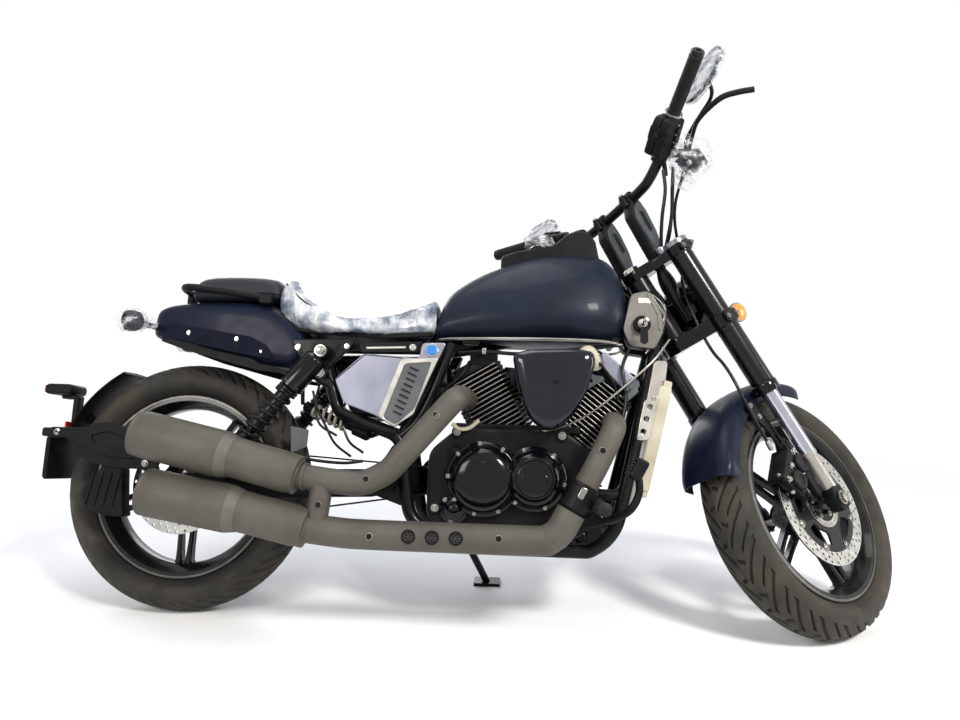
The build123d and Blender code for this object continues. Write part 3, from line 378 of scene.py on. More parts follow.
def plate(outline, low, high, edge, corner=0, holes=()):
    """An outline in (x, z) between two y values, with holes and softened edges."""
    if corner:
        outline = rounded(outline, corner)
    curve = bpy.data.curves.new("cut", "CURVE")
    curve.dimensions, curve.fill_mode = "2D", "BOTH"
    for loop in [outline, *holes]:
        spline = curve.splines.new("POLY")
        spline.points.add(len(loop) - 1)
        spline.points.foreach_set("co", [value for x, z in loop for value in (x, z, 0, 1)])
        spline.use_cyclic_u = True
    curve.bevel_depth, curve.bevel_resolution, curve.offset = edge, 1, -edge
    curve.extrude = (high - low) / 2 - edge
    holder = bpy.data.objects.new("cut", curve)
    mesh = bpy.data.meshes.new_from_object(holder)
    points = np.array([point.co for point in mesh.vertices])
    faces = [tuple(face.vertices) for face in mesh.polygons]
    bpy.data.objects.remove(holder)
    bpy.data.curves.remove(curve)
    bpy.data.meshes.remove(mesh)
    shape = Shape(points, faces).put(Matrix.Rotation(pi / 2, 4, "X"))
    return shape.moved(0, (low + high) / 2, 0)


def slab(outline, low, high, edge, corner, holes=()):
    """An outline in (x, y), the same on both sides of y = 0, between two z values."""
    return plate(outline, low, high, edge, corner, holes).put(Matrix.Rotation(pi / 2, 4, "X"))


def box(low, high, edge, corner=0):
    """A block with softened edges; corner rounds its four upright edges."""
    outline = [(low[0], low[2]), (high[0], low[2]), (high[0], high[2]), (low[0], high[2])]
    return plate(outline, low[1], high[1], edge, corner or edge)


def bolt(at, direction, size=5, height=4, hexagon=False):
    """A bolt head on a washer: a hexagon, or a round head with a socket."""
    direction = Vector(direction).normalized()
    washer = lathe([(size * 1.35, 0), (size * 1.35, 1), (size, 1.2)], at, direction, 20)
    if hexagon:
        head = lathe([(size, 1), (size, height), (size * 0.85, height + 0.8)], at, direction, 6)
    else:
        head = lathe([(size, 1), (size, height - 1), (size * 0.8, height), (size * 0.5, height),
                      (size * 0.45, height - 2)], at, direction, 18)
    return washer + head


def bolts(spots, *head):
    """The same bolt head at several points."""
    return join(bolt(spot, *head) for spot in spots)


def helix(start, end, radius, wire, turns):
    """A coil spring between two points."""
    start, end = Vector(start), Vector(end)
    turn = aim(end - start)
    length = (end - start).length
    count = int(turns * COIL_STEPS)
    path = [start + turn @ Vector((radius * cos(tau * i / COIL_STEPS), radius * sin(tau * i / COIL_STEPS),
                                   length * i / count)) for i in range(count + 1)]
    return pipe(path, wire, 8, 0)


def steady(values, share):
    """Values between stations, eased so that the slope is continuous."""
    last = len(values) - 1
    spot = min(max(share, 0), 1) * last
    index = min(int(spot), last - 1)
    knots = (values[max(index - 1, 0)], values[index], values[index + 1], values[min(index + 2, last)])
    return eased(*knots, spot - index)


def hull(stations, along, sides, bulge=0.0):
    """A body through stations of x, z_low, z_high, half_low, half_high and squareness."""
    table = np.array(stations, float)
    rings = []
    for step in range(along + 1):
        x, z_low, z_high, half_low, half_high, square = steady(table, step / along)
        middle = (z_low + z_high) / 2
        loop = []
        for turn in range(sides):
            angle = tau * turn / sides
            u = abs(cos(angle)) ** (2 / square) * (1 if cos(angle) > 0 else -1)
            v = abs(sin(angle)) ** (2 / square) * (1 if sin(angle) > 0 else -1)
            half = half_low + (half_high - half_low) * (v + 1) / 2 + bulge * (1 - v * v)
            loop.append((x, u * half, middle + v * (z_high - z_low) / 2))
        rings.append(loop)
    return skin(rings)


# ---- finishes ------------------------------------------------------------------------------------
DUST = "8a8378"
BLOTCH = 14                  # how many blotches of the second colour lie in a metre


def linear(text):
    """A colour written as on a screen, for the shader."""
    values = [int(text[index:index + 2], 16) / 255 for index in (0, 2, 4)]
    return (*[value / 12.92 if value < 0.04045 else ((value + 0.055) / 1.055) ** 2.4 for value in values], 1)


def grey(value):
    """A value as a colour."""
    return (value, value, value, 1)


class Finish(Nodes):
    """A material whose colour, roughness and relief come from noise in the piece's own space."""

    def __init__(self, name):
        self.material = bpy.data.materials.new(name)
        self.material.use_nodes = True
        super().__init__(self.material.node_tree)
        self.shader = self.tree.nodes["Principled BSDF"]
        self.space = self.node("ShaderNodeTexCoord").outputs["Object"]

    def noise(self, scale, detail=4.0, stretch=None, kind="ShaderNodeTexNoise"):
        made = self.node(kind, Scale=scale)
        if kind == "ShaderNodeTexNoise":
            made.inputs["Detail"].default_value = detail
        source = self.space
        if stretch:
            mapping = self.node("ShaderNodeMapping", Scale=stretch)
            self.link(source, mapping.inputs["Vector"])
            source = mapping.outputs["Vector"]
        self.link(source, made.inputs["Vector"])
        return made.outputs["Fac" if kind == "ShaderNodeTexNoise" else "Distance"]

    def mix(self, share, first, second):
        made = self.node("ShaderNodeMix")
        made.data_type = "RGBA"
        self.link(share, made.inputs["Factor"])
        for label, value in ((6, first), (7, second)):
            if isinstance(value, tuple):
                made.inputs[label].default_value = value
            else:
                self.link(value, made.inputs[label])
        return made.outputs[2]

    def relief(self, source, depth, after=None):
        made = self.node("ShaderNodeBump", Strength=1.0, Distance=depth * MM)
        self.link(source, made.inputs["Height"])
        if after is not None:
            self.link(after, made.inputs["Normal"])
        return made.outputs["Normal"]

    def settle(self, colour, rough, normal, **sockets):
        for source, label in ((colour, "Base Color"), (rough, "Roughness"), (normal, "Normal")):
            if source is not None:
                self.link(source, self.shader.inputs[label])
        for label, value in sockets.items():
            self.shader.inputs[label.replace("_", " ")].default_value = value
        return self.material


def plain(name, colour, rough, worn, metal=0.0, coat=0.0, grain=(900, 0.02), dust=0.0, stretch=None,
          rough_spread=0.08, shine=0.5):
    """A finish with blotches of a second colour, fine grain, and dust that lies on what faces up."""
    finish = Finish(name)
    tint = finish.ramp(finish.noise(BLOTCH, 5, stretch), 0.35, 0.7, [linear(colour), linear(worn)])
    if dust:
        facing = finish.node("ShaderNodeSeparateXYZ")
        finish.link(finish.node("ShaderNodeNewGeometry").outputs["Normal"], facing.inputs[0])
        lying = finish.ramp(facing.outputs["Z"], 0.1, 1.0, [grey(0), grey(dust)])
        patch = finish.ramp(finish.noise(22, 6), 0.3, 0.75, [grey(0), grey(1)])
        tint = finish.mix(finish.math("MULTIPLY", lying, patch), tint, linear(DUST))
    spread = finish.ramp(finish.noise(BLOTCH * 2.3, 6, stretch), 0.3, 0.75,
                         [grey(max(rough - rough_spread, 0.02)), grey(min(rough + rough_spread, 1))])
    normal = finish.relief(finish.noise(grain[0], 3, stretch), grain[1])
    return finish.settle(tint, spread, normal, Metallic=metal, Coat_Weight=coat, Coat_Roughness=0.1,
                         Specular_IOR_Level=shine)


def tyre_finish():
    """Rubber with dust dried into the sidewalls, and painted shade darkening its grooves."""
    finish = Finish("tyre_rubber")
    speckle = finish.ramp(finish.noise(420, 3), 0.4, 0.7, [linear("22211e"), linear("312f2b")])
    dirt = finish.ramp(finish.noise(9, 7), 0.4, 0.75, [grey(0), grey(0.6)])
    tint = finish.mix(dirt, speckle, linear("4a443b"))
    # painted shade: grooves and other hollows (low pointiness) are darkened to near black; the mask is 1 on
    # raised rubber and 0 in the hollows
    raised = finish.ramp(finish.node("ShaderNodeNewGeometry").outputs["Pointiness"], 0.44, 0.5,
                         [grey(0), grey(1)])
    tint = finish.mix(raised, linear("0b0b0a"), tint)
    rough = finish.ramp(finish.noise(30, 5), 0.3, 0.8, [grey(0.62), grey(0.9)])
    return finish.settle(tint, rough, finish.relief(finish.noise(1500, 2), 0.06), Specular_IOR_Level=0.25)


def vinyl_finish():
    """Black seat vinyl with a small leather grain."""
    finish = Finish("seat_vinyl")
    cells = finish.noise(620, kind="ShaderNodeTexVoronoi")
    tint = finish.ramp(finish.noise(12, 5), 0.3, 0.75, [linear("14161c"), linear("1d2028")])
    rough = finish.ramp(finish.noise(40, 5), 0.3, 0.75, [grey(0.42), grey(0.58)])
    return finish.settle(tint, rough, finish.relief(cells, 0.25), Specular_IOR_Level=0.25)


def film_finish(name, clear, bunched_alpha, band, streak, scale, tints):
    """Thin clear packing film: pale and cloudy where it bunches, clear where it lies flat; the pale streaks are
    partly painted highlight on its creases.
    """
    finish = Finish(name)
    creases = finish.noise(scale, 8, streak)
    # painted highlight: along the creases the film turns pale and nearly solid, partly real cloudiness and
    # partly painted highlight
    cloud_and_highlight_alpha = finish.ramp(creases, *band, [grey(clear), grey(bunched_alpha)])
    tint = finish.ramp(creases, 0.35, 0.65, [linear(tint) for tint in tints])
    rough = finish.ramp(finish.noise(70, 5), 0.3, 0.7, [grey(0.12), grey(0.34)])
    fold = finish.relief(finish.noise(48, 6, streak), 3.0)
    finish.link(cloud_and_highlight_alpha, finish.shader.inputs["Alpha"])
    return finish.settle(tint, rough, finish.relief(finish.noise(260, 4), 0.5, fold),
                         IOR=1.45, Coat_Weight=0.6, Coat_Roughness=0.08)


def glass_finish(name, colour, rough, share):
    """Ribbed lens plastic."""
    finish = Finish(name)
    tint = finish.ramp(finish.noise(60, 3), 0.2, 0.8, [linear(colour), linear(colour)])
    ribs = finish.relief(finish.noise(260, kind="ShaderNodeTexVoronoi"), 0.4)
    return finish.settle(tint, None, ribs, Roughness=rough, IOR=1.5, Coat_Weight=0.8,
                         Transmission_Weight=share)


def matt_exhaust():
    """Sand-textured heat paint, greyer where the light catches the grain."""
    finish = Finish("exhaust_coat")
    tint = finish.ramp(finish.noise(10, 6), 0.3, 0.72, [linear("403d38"), linear("524f48")])
    fine = finish.ramp(finish.noise(1400, 2), 0.45, 0.7, [grey(0), grey(0.3)])
    tint = finish.mix(fine, tint, linear("6d6a63"))
    rough = finish.ramp(finish.noise(26, 5), 0.3, 0.8, [grey(0.5), grey(0.66)])
    return finish.settle(tint, rough, finish.relief(finish.noise(1500, 3), 0.09), Metallic=0.2,
                         Specular_IOR_Level=0.3)


# the record's slots, and for each look its colour, roughness, second colour and what else differs
PLAIN_LOOKS = {
    "frame_black": [
        ("frame_black", "08090b", 0.34, "0d0e11", dict(coat=0.12, dust=0.05, shine=0.1)),
        ("fork_black", "060608", 0.26, "0a0a0e",
         dict(coat=0.2, grain=(60, 0.001), shine=0.2, rough_spread=0.02)),
    ],
    "engine_black": [
        ("engine_black", "0a0a0c", 0.48, "121214", dict(dust=0.1, shine=0.12)),
        ("engine_gloss", "050608", 0.16, "08090c", dict(coat=0.3, grain=(40, 0.02), shine=0.1)),
        ("fin_edge", "8d8a83", 0.36, "6b6862", dict(metal=0.85)),
    ],
    "tank_navy": [
        ("tank_navy", "101622", 0.44, "151b29", dict(metal=0.05, coat=0.06, grain=(1600, 0.008), shine=0.12)),
        # painted shade: a darker copy of the tail's navy, so that the upright side panels render as dark as the
        # cowl though they catch more light
        ("tail_panel", "080c19", 0.5, "0b101f", dict(grain=(1500, 0.01), shine=0.05)),
        ("cover_navy", "04060d", 0.08, "060913", dict(coat=0.5, grain=(50, 0.015), shine=0.15)),
        ("tail_navy", "0c1120", 0.4, "101628", dict(coat=0.05, grain=(1500, 0.01), shine=0.1)),
    ],
    "silver_paint": [
        ("head_cast", "5b5954", 0.42, "6c6a64", dict(metal=0.3, shine=0.3)),
        ("silver_paint", "777988", 0.36, "8b8d99", dict(metal=0.5, coat=0.3)),
        ("pale_metal", "b9b7ae", 0.34, "9e9c95", dict(metal=0.75)),
        ("head_grey", "8b8782", 0.38, "9b9791", dict(metal=0.5, coat=0.1, shine=0.3)),
    ],
    "black_plastic": [
        ("vent_grey", "4c4d50", 0.5, "5c5d60", dict(grain=(900, 0.04), shine=0.2)),
        ("black_plastic", "0a0b0d", 0.5, "111215", dict(grain=(800, 0.05), dust=0.06, shine=0.1)),
    ],
    "exhaust_coat": [
        # a lighter grey for the step cone between can and neck
        ("exhaust_worn", "55524b", 0.5, "605d56", dict(metal=0.2, grain=(1500, 0.09), shine=0.3)),
    ],
    "wheel_black": [
        ("wheel_black", "08090a", 0.26, "0e0f11", dict(coat=0.25, dust=0.06, shine=0.15)),
        ("rim_edge", "4f4e4c", 0.3, "66645f", dict(metal=0.7)),
    ],
    "disc_steel": [
        ("disc_steel", "b3b2ae", 0.26, "c7c5bf", dict(metal=1.0, stretch=(1, 8, 1))),
    ],
    "plain_steel": [
        ("plain_steel", "9d9b96", 0.3, "7d7a74", dict(metal=1.0)),
        ("bright_bolt", "c9c6bf", 0.2, "b1aea7", dict(metal=1.0)),
        ("ivory_paint", "b5ae9a", 0.42, "9d967f"),
    ],
    "fork_grey": [
        ("fork_grey", "77777c", 0.24, "8b8b90", dict(metal=0.85)),
        # painted reflection: the faint blue in this chrome colour stands in for the sky that the stanchions
        # reflect
        ("bright_tube", "a6a8b4", 0.16, "b4b4be", dict(metal=0.95, grain=(60, 0.01))),
    ],
    "riser_grey": [
        ("riser_grey", "43484b", 0.46, "54595c", dict(metal=0.4, shine=0.2)),
    ],
    "grip_rubber": [
        ("grip_rubber", "111111", 0.6, "191817", dict(grain=(700, 0.06), shine=0.2)),
    ],
    "belt_rubber": [
        ("belt_rubber", "121212", 0.6, "1c1b1a", dict(grain=(500, 0.05), shine=0.2)),
    ],
    "mirror_glass": [
        ("mirror_glass", "d8dadc", 0.03, "d0d3d6", dict(metal=1.0, grain=(30, 0.002), rough_spread=0.01)),
    ],
    "plate_blank": [
        ("plate_blank", "35311f", 0.55, "423d28", dict(shine=0.2)),
    ],
    "cable_black": [
        ("cable_black", "0a0a0b", 0.34, "121213", dict(coat=0.12, shine=0.15)),
        ("bright_wire", "85837c", 0.3, "6b6963", dict(metal=0.6)),
    ],
    "lock_blue": [
        ("lock_blue", "1f74c4", 0.3, "2b86d6", dict(metal=0.3, coat=0.5)),
    ],
}
# how solid the film is where clear and where bunched (cloudy film and painted highlight), the stretch between
# them, streaks, scale and two tints
FILMS = {
    "seat_film": (0.3, 0.94, (0.36, 0.62), (1.0, 0.3, 1.2), 22, ("8392aa", "c4c4c4")),
    "streak_film": (0.2, 0.8, (0.42, 0.62), (1.0, 0.3, 1.4), 60, ("6d7786", "e2e2e4")),
    "wrap_film": (0.09, 0.85, (0.5, 0.7), (1.0, 0.6, 1.3), 40, ("8d97a8", "e8e8e8")),
}
# colour, roughness and how much light goes through
LENSES = {
    "lamp_lens": ("f28c05", 0.18, 0.15),
    "red_lens": ("a30a10", 0.15, 0.25),
    "headlamp_glass": ("eef3f6", 0.04, 0.85),
}
# look: the record's slot it belongs to, and its material
LOOKS = {
    "exhaust_coat": ("exhaust_coat", matt_exhaust()),
    "seat_vinyl": ("seat_vinyl", vinyl_finish()),
    "tyre_rubber": ("tyre_rubber", tyre_finish()),
}
for name, values in FILMS.items():
    LOOKS[name] = ("protective_film", film_finish(name, *values))
for name, values in LENSES.items():
    LOOKS[name] = (name, glass_finish(name, *values))
for slot, rows in PLAIN_LOOKS.items():
    for name, colour, rough, worn, *others in rows:
        LOOKS[name] = (slot, plain(name, colour, rough, worn, **dict(*others)))
SHARP = 32                   # degrees between faces that stay crisp


def piece(name, shape, look, body="chassis", at=CHASSIS, covers=(), crisp=SHARP):
    """A shape as an object in the row frame, with its finish, its body and the CAD nodes it stands for."""
    slot_name, material = LOOKS[look]
    placed = shape.put(at)
    mesh = bpy.data.meshes.new(name)
    mesh.from_pydata(placed.points.tolist(), [], placed.faces)
    mesh.validate()
    mesh.materials.append(material)
    thing = bpy.data.objects.new(name, mesh)
    bpy.context.scene.collection.objects.link(thing)
    mesh.shade_smooth()
    mesh.set_sharp_from_angle(angle=radians(crisp))
    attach(thing, body)
    if covers:
        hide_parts(*covers)
    return thing


def film_piece(name, shape, look, flat, held, rests_on, **where):
    """Packing film: one thin skin with its mouth open; the size that it was cut to, flat, is not used."""
    open_skin = Shape(shape.points, [face for face in shape.faces if len(face) == 4])
    film = piece(name, open_skin, look, crisp=19, **where)


def paint(look, *names):
    """A finish for CAD nodes that show as they are."""
    material = LOOKS[look][1]
    for name in names:
        node = frame["nodes"][name]
        node.data.materials.clear()
        node.data.materials.append(material)
        for face in node.data.polygons:
            face.material_index = 0


# ---- wheels --------------------------------------------------------------------------------------
RIM_SEAT, RIM_LIP, RIM_HALF = 216, 230, 44
HUB_R = 42
AXLE_BORE = 10.5
BELT_Y = 86
FRONT_DISC_Y, REAR_DISC_Y = -66, -70
DISC_HALF, CARRIER_HALF = 2.3, 3.0          # half of their thickness
SPEED_TEETH, PULLEY_TEETH = 40, 64
TREAD_DEPTH = 5.5
CROWN_HALF = radians(50)     # half of the arc that the crown covers
TYRE_STEPS, CROWN_STEPS = 864, 46
WALL_STEPS = 14
WALL_LINES = (5, 10, 13)     # the steps up a tyre's wall that carry a raised line
# start in a pitch, slope, where the groove begins and ends as shares of the crown's half width, width
GROOVES = ((0.0, -1.15, 0.06, 1.0, 0.11), (0.42, -1.15, 0.42, 1.0, 0.08), (0.70, 0.25, 0.0, 0.30, 0.07))
SPOKE_SECTION = ((-1, -0.5), (-0.7, -1), (0.7, -1), (1, -0.5), (1, 0.5), (0.7, 1), (-0.7, 1), (-1, 0.5))


def tyre(radius, half_width, crown, pitches):
    """A tyre whose crown carries slanted grooves, with raised lines on its walls."""
    centre = radius - crown
    edge = (centre + crown * cos(CROWN_HALF), crown * sin(CROWN_HALF))
    spans = []
    for step in range(CROWN_STEPS + 1):
        angle = CROWN_HALF * (2 * step / CROWN_STEPS - 1)
        spans.append((centre + crown * cos(angle), crown * sin(angle), 1.0))
    walls = []
    wall_r = (edge[0] + RIM_LIP) / 2
    wall_y = 2 * half_width - (edge[1] + RIM_HALF) / 2
    for step in range(1, WALL_STEPS + 1):
        r = bent(edge[0], wall_r, RIM_LIP + 2, step / WALL_STEPS)
        y = bent(edge[1], wall_y, RIM_HALF, step / WALL_STEPS)
        line = 0.9 if step in WALL_LINES else 0
        walls.append((r, y + line, 0.0))
    profile = [(r, -y, grooved) for r, y, grooved in reversed(walls)] + spans + walls
    profile = np.array([(RIM_SEAT + 2, 0.3 - RIM_HALF, 0), *profile, (RIM_SEAT + 2, RIM_HALF - 0.3, 0)])
    theta = np.arange(TYRE_STEPS) * tau / TYRE_STEPS
    r, y, grooved = profile.T
    share = y / edge[1]
    turn = theta[:, None] * pitches / tau
    depth = np.zeros((TYRE_STEPS, len(profile)))
    for side, offset in ((1, 0.0), (-1, 0.5)):
        reach = np.clip(share * side, 0, 1)
        for start, slope, near, far, width in GROOVES:
            phase = (turn + offset + start - slope * reach[None, :]) % 1.0
            gap = np.minimum(phase, 1 - phase)
            inside = (share * side > near) & (share * side < far)
            cut = np.clip((width - gap) / (width * 0.45), 0, 1) * inside[None, :]
            depth = np.maximum(depth, cut)
    radii = r[None, :] - depth * grooved[None, :] * TREAD_DEPTH
    points = np.stack([radii * np.cos(theta)[:, None], np.broadcast_to(y, radii.shape),
                       radii * np.sin(theta)[:, None]], axis=2)
    count = len(profile)
    cells = np.arange(TYRE_STEPS)[:, None] * count + np.arange(count)[None, :]
    after = np.roll(cells, -1, axis=0)
    beside, after_beside = np.roll(cells, -1, axis=1), np.roll(after, -1, axis=1)
    faces = np.stack([cells, beside, after_beside, after], axis=2).reshape(-1, 4)
    return Shape(points.reshape(-1, 3), faces.tolist())


def wheel(hub_half):
    """Barrel, hub and five pairs of spokes that draw together towards the rim."""
    inner = RIM_SEAT - 20
    half = [(RIM_SEAT, RIM_HALF), (RIM_LIP, RIM_HALF), (RIM_LIP, RIM_HALF + 5), (RIM_LIP - 2, RIM_HALF + 6),
            (RIM_SEAT - 1, RIM_HALF + 6), (RIM_SEAT - 4, RIM_HALF + 1), (RIM_SEAT - 8, RIM_HALF - 6),
            (inner + 2, 22), (inner, 16)]
    other_half = [(radius, -y) for radius, y in reversed(half)]
    barrel = lathe(other_half[-1:] + half + other_half[:-1], steps=144, looped=True)
    half = [(HUB_R, 8), (HUB_R, hub_half - 20), (34, hub_half - 6), (30, hub_half), (AXLE_BORE, hub_half)]
    other_half = [(radius, -y) for radius, y in reversed(half)]
    hub = lathe([*other_half, (HUB_R + 4, 0), *half], steps=64, looped=True)
    spokes = Shape()
    for pair in range(5):
        for side in (-1, 1):
            rings = []
            for share in (0, 0.12, 0.3, 0.55, 0.8, 0.93, 1.0):
                along = 30 + share * (inner - 26)
                middle = side * (19 - 7 * share)
                wide = 8.5 - 2.5 * sin(pi * share) + (5 if share > 0.95 else 0)
                deep = 15 - 3 * sin(pi * share)
                rings.append([(along, deep * sy, middle + wide * sz) for sy, sz in SPOKE_SECTION])
            spokes = spokes + skin(rings).turned(pair * 72 + 90)
        web = plate([(40, -11), (78, -8), (86, 0), (78, 8), (40, 11)], -5, 5, 1.5, 4)
        spokes = spokes + web.turned(pair * 72 + 90)
    return barrel + hub + spokes


def rim_edges():
    """The machined lines on both flanges."""
    one = lathe([(RIM_LIP + 0.5, RIM_HALF + 0.6), (RIM_LIP + 0.5, RIM_HALF + 5), (RIM_LIP - 1, RIM_HALF + 6.8),
                 (RIM_LIP - 6, RIM_HALF + 6.8), (RIM_LIP - 6, RIM_HALF + 5.6)], steps=144, looped=True)
    return both(one)


def disc(radius, y, band, holes):
    """A drilled brake disc's ring."""
    cuts = []
    for spot in range(holes):
        for share, shift in ((0.2, 0), (0.5, 0.35), (0.8, 0.7)):
            if (spot + int(share * 10)) % 4 == 3:
                continue
            angle = tau * (spot + shift) / holes
            reach = radius - band + band * share
            cuts.append(circle(reach * cos(angle), reach * sin(angle), 3.4, 10))
    opening = circle(0, 0, radius - band, 72)
    return plate(circle(0, 0, radius, 96), y - DISC_HALF, y + DISC_HALF, 0.4, 0, [opening, *cuts])


def disc_carrier(radius, y, hub_r):
    """The black middle of a disc: slots between arms."""
    cuts = [circle(0, 0, hub_r, 40)]
    for arm in range(5):
        turn = tau * arm / 5
        slot = []
        for reach, angles in ((0.86, (-0.42, -0.2, 0, 0.2, 0.42)), (0.60, (0.36, 0.12, -0.12, -0.36))):
            slot += [(radius * reach * cos(turn + angle), radius * reach * sin(turn + angle))
                     for angle in angles]
        cuts.append(rounded(slot, 6, 2))
    return plate(circle(0, 0, radius, 80), y - CARRIER_HALF, y + CARRIER_HALF, 0.8, 0, cuts)


def buttons(radius, y, count, size=7):
    """Rivets that hold a disc's ring to its carrier."""
    return bolts([(x, y, z) for x, z in circle(0, 0, radius, count)], RIGHT, size, 4)


def toothed_ring(y, radius):
    """The wheel speed ring beside the front hub."""
    slots = []
    for tooth in range(SPEED_TEETH):
        angle = tau * tooth / SPEED_TEETH
        slots.append([((radius - depth) * cos(angle + wide), (radius - depth) * sin(angle + wide))
                      for depth, wide in ((10, -0.03), (3, -0.03), (3, 0.03), (10, 0.03))])
    return plate(circle(0, 0, radius, 80), y - 1, y + 1, 0.2, 0, [circle(0, 0, radius - 15, 60), *slots])


def build_disc(end, at, y, ring_size, carrier_r, rivets):
    """A disc's ring, its carrier with a boss on the hub, and its rivets."""
    body = f"{end}_wheel"
    radius, band, holes = ring_size
    piece(f"{end}_disc_ring", disc(radius, y, band, holes), "disc_steel", body, at, [f"{end}_disc"])
    boss = lathe([(25, y + 3), (38, y + 3), (38, y + 6.5), (25, y + 6.5)], looped=True)
    piece(f"{end}_disc_carrier", disc_carrier(carrier_r, y, 26) + boss, "wheel_black", body, at)
    rivet_y = y - 2.8
    heads = buttons(rivets[0], rivet_y, rivets[1]) + buttons(33, rivet_y, 5, 4.5)
    piece(f"{end}_disc_buttons", heads, "plain_steel", body, at)


def build_wheels():
    """Tyres, wheels, valves, discs and the pulley."""
    for name, body, at, size, pitches, hub_half in (
            ("front", "front_wheel", FRONT_WHEEL, (FRONT_RADIUS, 66, 72), 22, 60),
            ("rear", "rear_wheel", REAR_WHEEL, (REAR_RADIUS, 73, 80), 24, 64)):
        piece(f"{name}_tyre_treaded", tyre(*size, pitches), "tyre_rubber", body, at, [f"{name}_tyre"], 28)
        piece(f"{name}_wheel_cast", wheel(hub_half), "wheel_black", body, at, [f"{name}_rim"])
        piece(f"{name}_rim_edges", rim_edges(), "rim_edge", body, at)
        valve = rod((RIM_SEAT - 22, 0, 0), (RIM_SEAT - 58, 0, 0), 4)
        piece(f"{name}_valve", valve, "black_plastic", body, at)
    build_disc("front", FRONT_WHEEL, FRONT_DISC_Y, (150, 34, 40), 118, (112, 8))
    piece("front_speed_ring", toothed_ring(FRONT_DISC_Y - 4.4, 58), "bright_bolt", "front_wheel", FRONT_WHEEL)
    build_disc("rear", REAR_WHEEL, REAR_DISC_Y, (120, 32, 34), 91, (85, 6))
    build_pulley()


def build_pulley():
    """The rear pulley: toothed rim, five openings and a hub."""
    pulley_r = 92
    rim_line = []
    for tooth in range(PULLEY_TEETH):
        for shift, reach in ((0.0, 3.0), (0.22, 3.0), (0.34, 0.0), (0.88, 0.0)):
            angle = tau * (tooth + shift) / PULLEY_TEETH
            rim_line.append(((pulley_r - reach) * cos(angle), (pulley_r - reach) * sin(angle)))
    cuts = [circle(x, z, 13) for x, z in circle(0, 0, 60, 5)]
    body = plate(rim_line, BELT_Y - 8, BELT_Y + 8, 0.3, 0, [circle(0, 0, 11, 24), *cuts])
    flange = ring((0, BELT_Y + 8.5, 0), LEFT, pulley_r + 1, pulley_r - 10, 0.6)
    hub = lathe([(AXLE_BORE, 64.5), (48, 64.5), (48, 78), (44, BELT_Y + 10), (AXLE_BORE, BELT_Y + 10)],
                looped=True)
    piece("rear_pulley_toothed", body + flange + hub, "engine_black", "rear_wheel", REAR_WHEEL, ["rear_pulley"])


# ---- exhaust -------------------------------------------------------------------------------------
MUFFLER_Y = -236
UPPER_AXIS = ((-33, 437), (200, 388), (352, 352))       # x, z of tail end, step and neck end
LOWER_AXIS = ((-2, 304), (228, 268), (380, 236))
MUFFLER_R, NECK_R, OUTLET_R = 54, 46, 30
HEADER_R, PIPE_R = 27, 33
FRONT_HEADER = [(1080, -70, 506), (1073, -140, 498), (1067, -196, 491), (1061, -224, 478), (1050, -234, 454),
                (1024, -236, 399), (998, -236, 350), (972, -236, 302)]
LOWER_PIPE = [(968, -236, 295), (952, -236, 265), (939, -236, 247), (921, -236, 235), (896, -236, 229),
              (700, -236, 228), (500, -236, 228), (440, -236, 231), (378, -236, 237)]
REAR_PIPE = [(716, -56, 551), (711, -150, 548), (708, -198, 545), (702, -225, 538), (690, -235, 525),
             (620, -236, 443), (572, -236, 387), (552, -236, 367), (516, -236, 347), (492, -236, 340),
             (466, -236, 340), (420, -236, 344), (350, -236, 352)]


def muffler_line(axis):
    """Tail end, step and neck end of a muffler."""
    return [Vector((x, MUFFLER_Y, z)) for x, z in axis]


def muffler(axis):
    """Neck, step and can, with a rolled lip round the outlet."""
    tail, step, neck = muffler_line(axis)
    can_length = (step - tail).length
    neck_length = (neck - step).length
    can = lathe([(OUTLET_R, 62), (OUTLET_R, 4), (OUTLET_R + 2, 1), (OUTLET_R + 5, 0.4), (MUFFLER_R - 5, 0.8),
                 (MUFFLER_R - 1, 3), (MUFFLER_R - 0.4, 6), (MUFFLER_R - 1.6, 8), (MUFFLER_R - 1.6, 15),
                 (MUFFLER_R, 18), (MUFFLER_R, can_length - 30), (MUFFLER_R - 1.4, can_length - 25),
                 (NECK_R + 0.6, can_length - 1), (NECK_R, can_length)], tail, step - tail, 72)
    collar = lathe([(NECK_R, -2), (NECK_R + 0.6, 10), (NECK_R, 22), (NECK_R, neck_length - 26),
                    (NECK_R - 2, neck_length - 20), (NECK_R - 2, neck_length - 2), (PIPE_R + 2, neck_length),
                    (PIPE_R, neck_length + 3)], step, neck - step, 72)
    return can, collar


def step_cone(axis):
    """The cone between can and neck, in a lighter grey than the can."""
    tail, step, _ = muffler_line(axis)
    length = (step - tail).length
    return lathe([(MUFFLER_R - 2, length - 25), (MUFFLER_R - 0.9, length - 25), (NECK_R + 1.1, length - 1),
                  (NECK_R, length - 1)], tail, step - tail, 72)


def vent_disc(at):
    """A round pressed vent with a mesh of small holes, flush in a heat shield."""
    x, y, z = at
    holes = [circle(x, z, 2.2, 8)]
    for row, count in ((5.4, 6), (9.8, 11)):
        holes += [circle(*middle, 1.9, 8) for middle in circle(x, z, row, count)]
    sheet = plate(circle(x, z, 13.2, 28), y - 0.6, y + 0.8, 0.3, 0, holes)
    return sheet + ring(at, LEFT, 15.6, 13, 1.4, 32, 0.5)


EXHAUST_SCREWS = [(527, -268, 227), (810, -268.5, 233), (512, -263, 350), (661, -262.5, 497),
                  (1033, -262.5, 430), (408, -261, 290)]


def clamp(at, way, radius, wide):
    """A band round a pipe."""
    return lathe([(radius - 1, -wide), (radius + 2.4, -wide), (radius + 3.2, 1 - wide),
                  (radius + 3.2, wide - 1), (radius + 2.4, wide), (radius - 1, wide)], at, way, 44, True)


